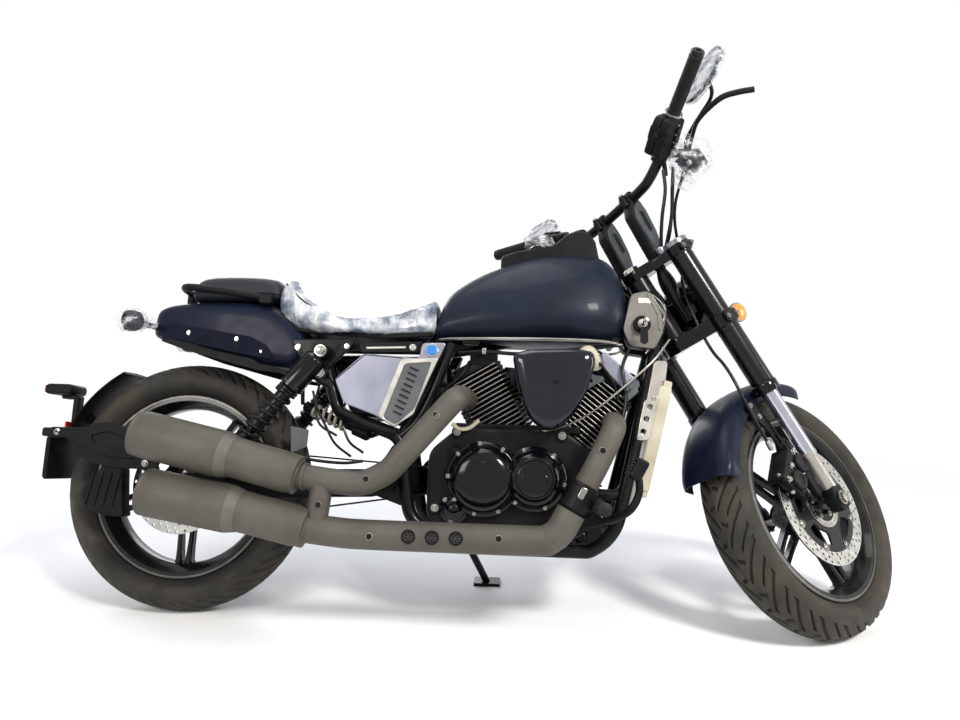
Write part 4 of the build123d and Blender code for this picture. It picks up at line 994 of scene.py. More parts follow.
def build_exhaust():
    """Two mufflers, the covered pipes to them, their joints, screws and vents."""
    for name, axis in (("upper", UPPER_AXIS), ("lower", LOWER_AXIS)):
        can, collar = muffler(axis)
        piece(f"{name}_muffler", can + collar, "exhaust_coat", covers=["mufflers"] if name == "upper" else [])
        piece(f"{name}_muffler_step", step_cone(axis), "exhaust_worn", crisp=60)
        tail, step, _ = muffler_line(axis)
        inner = lathe([(OUTLET_R - 0.2, 60), (OUTLET_R - 0.2, 61), (12, 61.5), (1, 61.5)], tail, step - tail)
        piece(f"{name}_muffler_throat", inner, "black_plastic")
    pipes = join(pipe(points, radius, 44, 10) for points, radius in (
        (FRONT_HEADER, HEADER_R), (LOWER_PIPE, PIPE_R), (REAR_PIPE, HEADER_R + 1)))
    link = pipe([(x, MUFFLER_Y, z) for x, z in ((406, 338), (404, 300), (400, 262), (398, 236))], 25, 32, 6)
    piece("exhaust_heat_shields", pipes + link, "exhaust_coat", covers=["exhaust_pipes"], crisp=60)
    ahead = Vector(FRONT_HEADER[5]) - Vector(FRONT_HEADER[6])
    joint = Vector(FRONT_HEADER[6])
    # painted shade: the black sleeve below the joint stands in for the shade on the header there; the band
    # round the joint is a real clamp
    painted_shade_sleeve = pipe([joint - ahead * share for share in (0.06, 0.5, 1.0)], HEADER_R + 1.6, 44, 0)
    piece("exhaust_joint_sleeve", painted_shade_sleeve + clamp(joint, ahead, HEADER_R, 5), "engine_black")
    slot = box((-7, -1.5, -13), (7, 1.5, 13), 1, 5).turned(28).moved(990, MUFFLER_Y - HEADER_R - 2.4, 336)
    neck = Vector(REAR_PIPE[-1]) - Vector(REAR_PIPE[-2])
    piece("exhaust_joint_slot", slot, "plain_steel")
    piece("exhaust_neck_band", clamp((366, MUFFLER_Y, 350.4), neck, HEADER_R + 1, 4), "exhaust_coat")
    piece("exhaust_screw_rims", join(ring(spot, RIGHT, 8.4, 6.6, 2.6, 28) for spot in EXHAUST_SCREWS),
          "fin_edge")
    heads = join(rod((x, y + 3, z), (x, y - 1, z), 6.8, steps=20) for x, y, z in EXHAUST_SCREWS)
    piece("exhaust_screw_heads", heads, "engine_black")
    vents = join(vent_disc((x, MUFFLER_Y - PIPE_R - 0.4, 230)) for x in (613, 665, 717))
    piece("exhaust_vents", vents, "engine_black")


# ---- engine --------------------------------------------------------------------------------------
CRANK = (885, 360)           # x, z
CASE_HALF = 128
CASE_LINE = [(632, 262), (700, 226), (1000, 226), (1046, 300), (1040, 420), (960, 478), (700, 478), (632, 420)]
CYLINDER_LEANS = (("rear", -31), ("front", 38))
FIN_PITCH = 11.5
FIN_COUNT = 17
FIN_HALF = 76
FIN_FOOT = 112               # height of the lowest fin over the crank
CASE_LUGS = [(654, 286), (700, 468), (952, 466), (1030, 306), (1022, 404)]
# x, z of the middles of the round covers, right and left
CLUTCH, FRONT_COVER, SUMP = (767, 358), (888, 362), (700, 286)
ALTERNATOR, BELT_COVER, SHIFT_COVER = (885, 360), (640, 352), (760, 300)


def fin_outline(half, cut):
    """A square with its corners cut off."""
    return [(-half, cut - half), (cut - half, -half), (half - cut, -half), (half, cut - half),
            (half, half - cut), (half - cut, half), (cut - half, half), (-half, half - cut)]


def upright_cylinder():
    """One finned barrel and head along z: dark body and the bright edges of its fins."""

    def layer(outline, low, high, edge=0.8, holes=()):
        return slab(outline, low, high, edge, 3, holes)

    body = layer(fin_outline(56, 14), 100, 306)
    edges = Shape()
    for index in range(FIN_COUNT):
        height = FIN_FOOT + index * FIN_PITCH
        half = FIN_HALF - (4 if index < 2 else 0) - (3 if index == 11 else 0)
        body = body + layer(fin_outline(half, 18), height, height + 4.4)
        rim = fin_outline(half + 0.5, 18.2)
        edges = edges + layer(rim, height + 0.9, height + 3.5, 0.3, [fin_outline(half - 1.5, 17.4)])
    head = layer(fin_outline(68, 16), 304, 324, 3) + layer(fin_outline(58, 18), 322, 334, 4)
    for x, y in ((-50, -50), (50, -50), (50, 50), (-50, 50)):
        head = head + rod((x, y, 300), (x, y, 330), 8)
    return body, edges, head


def build_cylinders():
    """Both cylinders with their heads, plug caps and nuts."""
    body, edges, head = upright_cylinder()
    for name, lean in CYLINDER_LEANS:
        stand = leaning((CRANK[0], 0, CRANK[1]), lean)
        piece(f"{name}_cylinder", body.put(stand), "engine_black",
              covers=["cylinders"] if name == "rear" else [])
        piece(f"{name}_cylinder_fin_edges", edges.put(stand), "fin_edge")
        piece(f"{name}_cylinder_head", head.put(stand), "engine_black")
        plug = lathe([(9, 0), (9, 16), (7, 18), (7, 44), (5, 48)], (-62, -44 if lean < 0 else -30, 300),
                     (-0.5, -0.8, 0.4), 20)
        lead = pipe([(-86, -82, 318), (-92, -92, 330), (-70, -78, 352), (-30, -50, 352)], 3.5, 10)
        piece(f"{name}_spark_plug_cap", (plug + lead).put(stand), "black_plastic")
        nuts = bolts([(-42, -34, 334), (42, -34, 334), (42, 34, 334), (-42, 34, 334)], UP, 7, 7, True)
        piece(f"{name}_head_nuts", nuts.put(stand), "plain_steel")


FRONT_HEAD_COVER = [(1049, 678), (1054, 634), (1112, 582), (1140, 590), (1136, 614), (1062, 680)]
HEAD_BRACKET = [(996, 594), (1014, 622), (1052, 616), (1056, 604), (1036, 598), (1002, 574)]


def build_head_tops():
    """The pale cover on the front head, its dark end, a bracket, an intake elbow and the cable in front."""
    cover = plate(FRONT_HEAD_COVER, -88, 60, 4, 9)
    piece("front_head_cover", cover, "silver_paint")
    end = rod((1128, -92, 600), (1128, 30, 600), 15)
    foot = box((1100, -94, 566), (1142, -60, 584), 4).turned(-42, about=(1121, -77, 575))
    piece("front_head_cover_end", end + foot, "riser_grey")
    bracket = plate(HEAD_BRACKET, -104, -100, 1, 4, [circle(1022, 606, 5)])
    piece("air_cleaner_bracket", bracket, "riser_grey")
    elbow = pipe([(992, -110, 650), (1004, -112, 672), (1018, -108, 676), (1030, -100, 660), (1034, -84, 640)],
                 15, 24)
    piece("intake_elbow", elbow, "ivory_paint")
    stay = pipe([(688, -140, 486), (706, -142, 474), (730, -140, 478), (752, -138, 497)], 5, 12)
    piece("rear_head_stay", stay, "ivory_paint")
    cable = pipe([(1218, -84, 716), (1170, -118, 655), (1103, -126, 592), (1017, -132, 521), (948, -132, 486),
                  (900, -120, 474)],
                 2.6, 10)
    piece("idle_cable", cable, "bright_wire")


def build_case():
    """Crankcase halves with a joint flange, ribs and the side covers."""
    halves = plate(CASE_LINE, -CASE_HALF, CASE_HALF, 8, 24)
    flange_line = [(x + (6 if x > 850 else -6), z + (6 if z > 350 else -5)) for x, z in CASE_LINE]
    flange = plate(flange_line, -7, 7, 2, 26)
    ribs = Shape()
    for x in range(700, 1000, 28):
        ribs = ribs + box((x, -CASE_HALF - 5, 216), (x + 7, CASE_HALF + 5, 250), 1.5)
    front_ribs = join(box((1020, -100, z), (1052, 100, z + 5), 1.2) for z in range(300, 420, 16))
    lugs = join(rod((x, -CASE_HALF - 9, z), (x, CASE_HALF + 9, z), 13) for x, z in CASE_LUGS)
    deck = box((690, -96, 470), (1000, 96, 492), 6)
    piece("engine_crankcase", halves + flange + ribs + front_ribs + lugs + deck, "engine_black",
          covers=["engine_case"])
    screws = join(bolt((x, side * (CASE_HALF + 9), z), (0, side, 0), 7, 6, True)
                  for side in (-1, 1) for x, z in CASE_LUGS)
    piece("engine_case_bolts", screws, "plain_steel")


def dome(x, z, base, top, radius, lip=8):
    """A round cover: flange, wall and a crowned face."""
    way = 1 if top > base else -1
    deep = abs(top - base)
    profile = [(radius, 0), (radius, deep * 0.34), (radius - 2, deep * 0.38), (radius - lip, deep * 0.42),
               (radius - lip - 2, deep * 0.5), (radius - lip - 7, deep * 0.72),
               (radius - lip - 16, deep * 0.88)]
    flat = radius - lip - 16
    for share in (0.8, 0.6, 0.4, 0.2, 0.05):
        profile.append((flat * share, deep * (0.88 + 0.12 * (1 - share ** 2) ** 0.55)))
    return lathe(profile, (x, base, z), (0, way, 0), 72)


def cover_bolts(x, z, y, reach, count, start=0.3):
    """Bolts spaced round a cover, from an angle on."""
    angles = [start + tau * spot / count for spot in range(count)]
    spots = [(x + reach * cos(angle), y, z + reach * sin(angle)) for angle in angles]
    return bolts(spots, LEFT if y > 0 else RIGHT, 5, 6)


def build_engine_covers():
    """The big round covers, right and left, in gloss black with a turned ring."""
    clutch = dome(*CLUTCH, -CASE_HALF, -190, 88)
    front = dome(*FRONT_COVER, -CASE_HALF, -186, 76)
    inset = ring((FRONT_COVER[0], -184.5, FRONT_COVER[1]), RIGHT, 47, 43, 1.4, 64)
    clutch_ring = ring((CLUTCH[0], -188.2, CLUTCH[1]), RIGHT, 40, 37.4, 1.2, 64)
    badge = plate(rounded([(858, 352), (918, 352), (918, 372), (858, 372)], 10), -188.6, -186, 0.8)
    bridge = box((800, -160, 318), (862, -CASE_HALF, 402), 8, 12)
    sump = dome(*SUMP, -CASE_HALF, -160, 34, 5)
    piece("right_engine_covers", clutch + front + inset + clutch_ring + badge + bridge + sump, "engine_gloss",
          covers=["engine_covers"])
    screws = (cover_bolts(*CLUTCH, -150, 82, 9) + cover_bolts(*FRONT_COVER, -148, 70, 6, 0.9)
              + cover_bolts(*SUMP, -140, 28, 3))
    piece("right_cover_bolts", screws, "plain_steel")
    alternator = dome(*ALTERNATOR, CASE_HALF, 184, 92)
    pulley = dome(*BELT_COVER, CASE_HALF, 168, 62)
    shift = dome(*SHIFT_COVER, CASE_HALF, 150, 40, 5)
    piece("left_engine_covers", alternator + pulley + shift, "engine_gloss")
    screws = (cover_bolts(*ALTERNATOR, 148, 86, 9) + cover_bolts(*BELT_COVER, 142, 56, 5)
              + cover_bolts(*SHIFT_COVER, 137, 34, 3))
    piece("left_cover_bolts", screws, "plain_steel")
    filler = lathe([(17, 0), (17, 8), (14, 10), (14, 4), (6, 4), (6, 12), (1, 12)], (700, -CASE_HALF - 2, 420),
                   (0, -1, 0.2), 24)
    window = ring((716, -CASE_HALF - 4, 292), RIGHT, 13, 9, 3)
    piece("oil_filler_and_window", filler + window, "black_plastic")
    filter_can = lathe([(37, 0), (38, 6), (38, 66), (34, 74), (20, 77), (1, 77)], (1012, -30, 268),
                       (1, 0, -0.12), 40)
    flutes = join(rod((1070, *foot), (1086, *end), 2.4, steps=8)
                  for foot, end in zip(circle(-30, 261, 37, 14), circle(-30, 259, 36, 14)))
    piece("oil_filter", filter_can + flutes, "engine_gloss")


# ---- air cleaner ---------------------------------------------------------------------------------
AIR_COVER = [(828, 650), (868, 661), (972, 666), (1016, 659), (1022, 634), (1003, 567), (974, 510), (941, 479),
             (907, 473), (872, 499), (848, 551)]
AIR_BODY = [(846, 644), (1004, 648), (974, 544), (925, 500), (880, 536)]
AIR_MIDDLE = (930, 585)
# y, and the share of the outline that the cover fills there
AIR_CROWN = ((-176, 0.985), (-179, 1.0), (-206, 1.0), (-211, 0.995), (-217, 0.975), (-222, 0.935),
             (-225.5, 0.87), (-228, 0.76), (-229.8, 0.6), (-230.8, 0.42), (-231.4, 0.22), (-231.6, 0.05))


def build_air_cleaner():
    """A shield-shaped cover with a crowned face over a round-cornered box."""
    line = np.array(rounded(AIR_COVER, 16, 5))
    middle = np.array(AIR_MIDDLE)
    rings = [[(x, y, z) for x, z in middle + (line - middle) * share][::-1] for y, share in AIR_CROWN]
    piece("air_cleaner_cover", skin(rings), "cover_navy", covers=["air_cleaner"], crisp=50)
    body = plate(AIR_BODY, -178, -74, 4, 22)
    trunk = rod((930, -80, 575), (930, -20, 560), 40)
    piece("air_cleaner_box", body + trunk, "black_plastic")
    rim_line = [(x, z) for x, z in middle + (line - middle) * 1.004]
    groove = plate(rim_line, -196, -193.6, 0.4)
    piece("air_cleaner_joint", groove, "engine_gloss")
    piece("air_cleaner_screw", bolt((AIR_MIDDLE[0], -231.2, AIR_MIDDLE[1]), RIGHT, 6, 4), "engine_black")


# ---- radiator ------------------------------------------------------------------------------------
DOWN_TOP, DOWN_FOOT = (1176.4, 650), (1082, 232)


def down_x(z):
    """Where the downtubes pass a height."""
    share = (z - DOWN_FOOT[1]) / (DOWN_TOP[1] - DOWN_FOOT[1])
    return DOWN_FOOT[0] + share * (DOWN_TOP[0] - DOWN_FOOT[0])


def build_radiator():
    """Core between ivory tanks, its cap and fan, and the hoses."""
    lean = degrees(atan2(DOWN_TOP[0] - DOWN_FOOT[0], DOWN_TOP[1] - DOWN_FOOT[1]))
    core = box((-11, -84, -118), (11, 84, 118), 1)
    fins = join(box((11, -80, z), (14.5, 80, z + 1.6), 0.3) for z in np.arange(-112, 114, 6.2))
    tubes = join(box((10, y, -114), (13.2, y + 2.4, 114), 0.3) for y in np.arange(-78, 80, 11))
    tanks = both(box((-15, 82, -130), (16, 94, 130), 3, 6))
    rails = box((-14, -90, 116), (15, 90, 146), 3, 6) + box((-14, -90, -146), (15, 90, -116), 3, 6)
    cap = lathe([(16, 0), (16, 10), (13, 12), (4, 13)], (0, 60, 146), UP, 12)
    stand = leaning((down_x(470) + 42, 0, 470), lean)
    piece("radiator_core", (core + fins + tubes).put(stand), "engine_black", covers=["radiator"])
    piece("radiator_tanks", (tanks + rails + cap).put(stand), "ivory_paint")
    fan = ring((-24, 0, 0), AHEAD, 78, 72, 8) + join(
        [box((-27, -3, 6), (-20, 14, 72), 1).turned(turn, "X", (-24, 0, 0)) for turn in range(0, 360, 45)])
    piece("radiator_fan", (fan + rod((-34, 0, 0), (-15, 0, 0), 24)).put(stand), "black_plastic")
    hose = pipe([(1146, -40, 606), (1124, -36, 622), (1096, -34, 606), (1078, -34, 560)], 15, 20)
    low_hose = pipe([(1112, -72, 340), (1082, -96, 330), (1050, -104, 330), (1030, -100, 330)], 14, 20)
    piece("coolant_hoses", hose + low_hose, "black_plastic")


SHROUD = ((662, 0, 34), (560, 4, 44), (470, 10, 46), (306, 4, 31))    # z, behind and ahead of the downtube


def build_radiator_covers():
    """Pale covers along both downtubes, with a drilled bracket on the right."""
    line = [(down_x(z) + ahead, z) for z, behind, ahead in SHROUD]
    line += [(down_x(z) + behind, z) for z, behind, ahead in reversed(SHROUD)]
    face = plate(line, 82, 90, 2.5, 12)
    crease = box((-3, 89, -130), (3, 91.6, 130), 1).turned(12.7).moved(down_x(480) + 27, 0, 480)
    piece("radiator_cover_faces", both(face + crease), "head_grey", covers=["radiator_covers"])
    holes = [circle(x, z, 7) for x, z in ((1166, 545), (1158, 515), (1150, 484))]
    bracket = plate([(1189, 574), (1164, 464), (1133, 463), (1153, 561)], -101, -95, 1.2, 8, holes)
    piece("drilled_bracket", bracket, "pale_metal")
    screws = bolts([(1176, -101, 566), (1142, -101, 470)], RIGHT, 5, 3)
    stubs = join(rod((x, -96, z), (x, -88, z), 6) for x, z in ((1168, 556), (1148, 476)))
    piece("drilled_bracket_screws", screws + stubs, "bright_bolt")


# ---- tank and console ----------------------------------------------------------------------------
# x, z_low, z_high, half_low, half_high, squareness
TANK = [
    (630, 706, 742, 58, 40, 2.6),
    (636, 700, 780, 78, 44, 2.9),
    (658, 700, 832, 92, 48, 3.0),
    (712, 700, 874, 104, 52, 3.0),
    (780, 700, 908, 116, 58, 3.0),
    (850, 700, 932, 124, 62, 3.0),
    (925, 700, 946, 128, 64, 3.0),
    (1000, 701, 949, 124, 62, 3.0),
    (1052, 704, 942, 112, 54, 3.0),
    (1086, 712, 918, 92, 46, 2.9),
    (1108, 724, 880, 68, 38, 2.7),
    (1120, 744, 830, 40, 26, 2.4),
]
SEAM_LINE = [(632, 56), (640, 80), (668, 97), (720, 108), (800, 119), (900, 127), (990, 127), (1046, 116),
             (1086, 92), (1106, 66), (1114, 30)]        # x and half width


def tank_seam():
    """The welded lip that runs round the bottom of the tank."""
    section = ((-8, 699), (0, 699), (1.2, 702), (0, 705), (-8, 705))
    return both(skin([[(x, half + out, z) for out, z in section] for x, half in SEAM_LINE]))


def build_tank():
    """The tank's shell, its seam and the mounts under it."""
    piece("fuel_tank_shell", hull(TANK, 72, 72, bulge=12), "tank_navy", covers=["fuel_tank"], crisp=70)
    piece("fuel_tank_seam", tank_seam(), "fin_edge")
    mount = rod((1086, -60, 716), (1086, 60, 716), 9) + rod((650, -40, 712), (650, 40, 712), 9)
    piece("fuel_tank_mounts", mount, "frame_black")


CONSOLE_LINE = [(790, 938), (796, 946), (830, 957), (880, 966), (925, 974), (940, 984), (956, 999), (974, 1009),
                (1000, 1014), (1022, 1007), (1038, 984), (1046, 958), (1050, 940)]


CONSOLE_BASE = [[900.0], [914], [926], [934], [938], [936], [930]]         # its underside, from back to front


def build_console():
    """The strip along the tank's top with the round display at its front and the filler cap."""
    rings = []
    for x, top in CONSOLE_LINE:
        tall = max(top - 940, 0)
        half = 24 + min(tall * 0.30, 14) if x < 1046 else 22
        base = steady(np.array(CONSOLE_BASE), (x - 790) / 260)[0]
        side = [(half, base), (half, top - 6), (half - 5, top - 1.5), (half * 0.5, top)]
        line = [(-y, z) for y, z in side] + [(0, top + 0.8)] + side[::-1]
        rings.append([(x, y, z) for y, z in line])
    piece("console_strip", skin(rings), "black_plastic", covers=["instrument_console"], crisp=40)
    face = leaning((985, 0, 1004), -24)
    bezel = lathe([(33, -14), (36, -8), (36, 4), (34, 7), (31, 7.5), (30, 4)], ORIGIN, UP, 64).put(face)
    piece("console_bezel", bezel, "tail_navy")
    display = lathe([(30.4, 3.6), (20, 4.2), (1, 4.4)], ORIGIN, UP, 48).put(face)
    piece("console_display", display, "engine_gloss")
    cap = leaning((892, 0, 966), -8)
    lid = lathe([(30, -14), (31, -2), (29, 6), (24, 10), (10, 12), (1, 12.4)], ORIGIN, UP, 48)
    flap = box((-12, -5, 11), (14, 5, 15), 1.2)
    knobs = join(rod((*spot, 4), (*spot, 10.5), 2.6) for spot in circle(0, 0, 25, 6))
    piece("filler_cap", (lid + flap + knobs).put(cap), "engine_gloss")
    film_piece("filler_cap_film", crumpled((892, 0, 984), (40, 34, 26), 7, 0.16), "wrap_film", (0.13, 0.11),
               "gathered", ["filler_cap"])


BAG_RINGS, BAG_SIDES = 22, 36


def crumpled(at, size, seed, depth):
    """A scrap of film bunched round something: a bag with sharp folds, open below."""
    points = []
    for step in range(BAG_RINGS + 1):
        tilt = pi * (0.02 + 0.78 * step / BAG_RINGS)
        loop = []
        for turn in range(BAG_SIDES):
            angle = tau * turn / BAG_SIDES
            ray = Vector((sin(tilt) * cos(angle), sin(tilt) * sin(angle), cos(tilt)))
            fold = noise.fractal(ray * 2.6 + Vector((seed, seed * 1.7, 0)), 0.6, 2.1, 4)
            crease = abs(noise.noise(ray * 5.5 + Vector((seed, 0, 3)))) - 0.2
            reach = 1 + depth * (0.7 * fold - crease)
            loop.append([middle + half * way * reach for middle, half, way in zip(at, size, ray)])
        points.append(loop)
    return skin(points[::-1])


# ---- seats and tail ------------------------------------------------------------------------------
SEAT = [
    (224, 786, 832, 84, 62, 3.0),
    (234, 740, 852, 108, 82, 3.0),
    (256, 722, 856, 124, 96, 3.0),
    (290, 712, 814, 136, 108, 3.2),
    (340, 706, 781, 143, 122, 3.4),
    (400, 702, 753, 143, 124, 3.6),
    (470, 700, 757, 132, 112, 3.6),
    (530, 700, 772, 118, 94, 3.4),
    (582, 702, 796, 98, 70, 3.2),
    (618, 712, 814, 80, 54, 3.0),
    (630, 730, 800, 70, 46, 2.8),
]
PILLION = [
    (-16, 796, 826, 60, 44, 3.0),
    (-4, 788, 842, 88, 70, 3.4),
    (30, 786, 857, 100, 84, 3.6),
    (120, 786, 860, 105, 90, 3.8),
    (196, 786, 856, 104, 90, 3.8),
    (220, 788, 846, 100, 84, 3.4),
    (228, 796, 832, 90, 74, 3.0),
]
TAIL = [
    (-112, 694, 760, 62, 52, 4.2),
    (-96, 688, 772, 80, 70, 4.6),
    (-56, 680, 782, 92, 82, 5.0),
    (20, 664, 787, 106, 98, 5.4),
    (100, 645, 788, 116, 108, 5.6),
    (190, 622, 784, 124, 114, 5.6),
    (240, 614, 768, 127, 116, 5.4),
    (272, 614, 738, 128, 118, 5.0),
    (298, 636, 708, 127, 118, 4.4),
]
ARCH_R = 342


def grown(stations, amount):
    """Stations moved out by an amount, for a cover that lies over a body."""
    return [(x, low - amount, high + amount, half_low + amount, half_high + amount, square)
            for x, low, high, half_low, half_high, square in stations]


def build_seats():
    """Rider's seat on its base, the pillion pad, and the piping of both."""
    seat = hull(SEAT, 60, 64, bulge=5)
    base_line = [(232, 742), (290, 708), (400, 699), (530, 697), (624, 704), (626, 716), (530, 711), (400, 713),
                 (290, 722), (240, 758)]
    rider = piece("rider_seat_cushion", seat, "seat_vinyl", covers=["rider_seat"], crisp=70)
    piece("rider_seat_base", both(plate(base_line, 96, 112, 2, 3)), "black_plastic")
    piping = both(pipe([(240, 92, 836), (290, 118, 790), (340, 130, 760), (400, 133, 736), (470, 122, 738),
                        (530, 104, 750), (582, 80, 772), (616, 62, 788)], 2.2, 8))
    piece("rider_seat_piping", piping, "seat_vinyl")
    pad = hull(PILLION, 36, 56, bulge=3)
    pillion = piece("pillion_pad_cushion", pad, "seat_vinyl", covers=["pillion_pad"], crisp=70)
    seam = both(pipe([(-4, 84, 806), (30, 103, 808), (120, 108, 808), (196, 107, 808), (224, 98, 808)], 1.8, 8))
    piece("pillion_seam", seam, "seat_vinyl")


def build_seat_film():
    """Thin film pulled over the rider's seat, bunched in folds along its rim."""
    sheet = hull(grown(SEAT, 2.2), 150, 150, bulge=5)
    points = sheet.points
    for index, point in enumerate(points):
        spot = Vector(point)
        gathered = min(max((770 - spot.z) / 60, 0), 1)
        pull = noise.fractal(spot * 0.012 + Vector((3, 1, 7)), 0.7, 2.0, 5)
        stretched = Vector((spot.x * 0.055, spot.y * 0.012, spot.z * 0.014)) + Vector((9, 2, 4))
        fold = 1 - abs(noise.noise(stretched)) * 2
        lift = 0.6 + 2.2 * pull + (1.6 + 2.4 * gathered) * max(fold, 0) ** 3
        out = spot - Vector((spot.x, 0, 745))
        points[index] = spot + out.normalized() * max(lift, -0.4)

    def above_hem(face):
        hem = 706 + 3 * noise.noise(Vector((points[face[0]][0] * 0.05, 0, 0)))
        return np.mean([points[index][2] for index in face]) > hem

    keep = [face for face in sheet.faces if len(face) == 4 and above_hem(face)]
    film_piece("rider_seat_film", Shape(points, keep), "seat_film", (0.56, 0.4), "stretched",
               ["rider_seat_cushion"])


def on_flank(shape, half, slope):
    """A plate laid on the tail's flank, which widens towards the front."""
    return Shape([(x, -(half + (x - TAIL[0][0]) * slope) - y, z) for x, y, z in shape.points],
                 [face[::-1] for face in shape.faces])


def build_tail():
    """The tail cowl with its wheel arch, side panels, lower edges, screws and the grab rail."""
    shell = hull(TAIL, 44, 72)
    for index, (x, y, z) in enumerate(shell.points):
        reach = hypot(x, z - REAR_RADIUS)
        if abs(y) < 86 and reach < ARCH_R:
            shell.points[index] = (x, y, REAR_RADIUS + sqrt(max(ARCH_R ** 2 - x * x, 0)))
    piece("tail_cowl_shell", shell, "tail_navy", covers=["tail_cowl"], crisp=50)
    panel = [(-58, 688), (22, 670), (180, 640), (232, 634), (214, 668), (170, 690), (20, 712), (-52, 722)]
    # painted shade: the side panels carry the darker copy of the tail's navy
    piece("tail_side_panels", both(on_flank(plate(panel, 0, 3, 1, 10), 106, 0.052)), "tail_panel")
    lower = [(-66, 690), (18, 666), (176, 634), (196, 622), (282, 606), (286, 596), (190, 606), (10, 650),
             (-70, 676)]
    piece("tail_lower_edges", both(on_flank(plate(lower, 0, 5, 1, 5), 96, 0.058)), "black_plastic")
    screws = join(bolt((x, -(108 + (x - TAIL[0][0]) * 0.052), z), RIGHT, radius, 4)
                  for x, z, radius in ((6, 697, 4.6), (134, 683, 4.6), (200, 652, 3)))
    piece("tail_screws", both(screws), "bright_bolt")
    half = [(206, 112, 790), (150, 111, 800), (40, 110, 814), (-14, 98, 820), (-38, 66, 823)]
    rail = pipe(half + [(-46, 0, 824)] + [(x, -y, z) for x, y, z in reversed(half)], 9.5, 16)
    feet = both(box((180, 100, 776), (214, 122, 802), 4, 8)) + box((-56, -16, 772), (-38, 16, 824), 4, 6)
    piece("grab_rail_bar", rail + feet, "black_plastic", covers=["grab_rail"])


# ---- frame, side covers and rear suspension ------------------------------------------------------
COVER_Y = 128
LOCK_X, LOCK_Z = 631, 664
VENT_OUTER = [(556, 640), (649, 645), (598, 519), (550, 472), (506, 499)]
VENT_INNER = [(567, 628), (632, 634), (591, 508), (550, 480), (521, 495)]
SIDE_COVER = [(394, 587), (463, 652), (600, 644), (606, 682), (666, 684), (649, 644), (549, 472), (501, 500),
              (420, 528)]


def build_side_covers():
    """Silver side covers with a louvred panel in a raised frame, and the seat lock."""
    shell = plate(SIDE_COVER, -COVER_Y - 14, -COVER_Y, 3, 10)
    frame_bar = plate(VENT_OUTER, -COVER_Y - 18, -COVER_Y - 10, 2.5, 9, [rounded(VENT_INNER, 7)])
    piece("side_cover_shells", both(shell), "silver_paint", covers=["side_covers"])
    piece("side_cover_vent_frames", both(frame_bar), "pale_metal")
    panel = plate(VENT_INNER, -COVER_Y - 15.6, -COVER_Y - 12, 0.6, 7)
    louvres = Shape()
    for index in range(9):
        z = 508 + index * 13.5
        x = 550 + (z - 494) * 0.33
        slat = box((-12, -3.2, -1.6), (12, 1.5, 1.6), 0.6, 1.4).turned(24)
        louvres = louvres + slat.moved(x, -COVER_Y - 16, z)
    piece("side_cover_vent_panels", both(panel), "vent_grey")
    piece("side_cover_louvres", both(louvres), "engine_black")
    groove = pipe([(x, -COVER_Y - 14.2, z) for x, z in ((400, 588), (466, 648), (560, 643))], 1.2, 6, 0)
    piece("side_cover_seams", both(groove), "black_plastic")
    lock = lathe([(13, 0), (13, 7), (11, 9), (9.5, 9), (9, 7.5), (3, 7.5), (2, 6), (1, 6)],
                 (LOCK_X, -COVER_Y - 13, LOCK_Z), RIGHT, 32)
    piece("seat_lock", lock, "lock_blue")
    piece("seat_lock_ring", ring((LOCK_X, -COVER_Y - 15, LOCK_Z), RIGHT, 16, 13, 2.5), "bright_bolt")
    rail = plate([(448, 676), (457, 654), (595, 658), (606, 684)], -COVER_Y - 14, -COVER_Y + 6, 2, 4)
    strip = plate([(468, 668), (470, 663), (566, 667), (566, 672)], -COVER_Y - 15, -COVER_Y - 12, 0.5)
    piece("seat_rail_covers", both(rail), "frame_black")
    piece("seat_rail_strips", both(strip), "pale_metal")
    piece("seat_rail_screws", both(bolt((584, -COVER_Y - 14, 670), RIGHT, 6, 3)), "bright_bolt")
    pegs = both(join(rod((x, -84, z), (x, -COVER_Y, z), 8) for x, z in ((470, 600), (600, 640))))
    piece("side_cover_pegs", pegs, "frame_black")


FRAME_PLATE = [(276, 684), (300, 640), (318, 604), (352, 590), (384, 624), (432, 672), (440, 690)]
LOOP = [(300, 668), (322, 622), (352, 588), (384, 570), (404, 518), (440, 496), (492, 474), (552, 462)]


def build_frame_trim():
    """The forged plates at the shock mounts, the loop under the side covers and their bolts."""
    web = plate(FRAME_PLATE, -132, -120, 3, 8)
    ribs = (box((322, -135, 620), (328, -130, 676), 1).turned(24, about=(325, 0, 650))
            + box((386, -135, 630), (391, -130, 680), 1).turned(24, about=(388, 0, 655)))
    piece("shock_mount_plates", both(web + ribs), "frame_black")
    loop = pipe([(x, -124, z) for x, z in LOOP], 11, 16)
    strut = pipe([(676, -112, 684), (652, -116, 610), (626, -118, 540), (596, -116, 486), (560, -112, 452)],
                 12, 20)
    piece("side_frame_loops", both(loop + strut), "frame_black")
    cross = join(rod((x, -124, z), (x, -92, z), 8) for x, z in ((300, 668), (404, 518), (552, 462), (660, 640)))
    piece("side_frame_links", both(cross), "frame_black")
    caps = join([bolt((350, -134, 606), RIGHT, 13, 8), bolt((296, -132, 664), RIGHT, 6, 4),
                 bolt((418, -132, 670), RIGHT, 5, 3)])
    rings = ring((350, -133, 606), RIGHT, 24, 19, 3) + ring((327, -133, 600), RIGHT, 15, 12, 2)
    piece("shock_mount_bolts", both(caps), "bright_bolt")
    piece("shock_mount_rings", both(rings), "frame_black")
    paint("frame_black", "frame_backbone", "frame_cradle", "swingarm", "stand_bracket")
    paint("plain_steel", "rear_axle")
    paint("engine_black", "battery_box", "exhaust_stay")


SHOCK_Y = -152
SHOCK_TOP = Vector((362, SHOCK_Y, 652))
SHOCK_FOOT = Vector((132, SHOCK_Y, 366))
STUD_HEAD_Y = -168


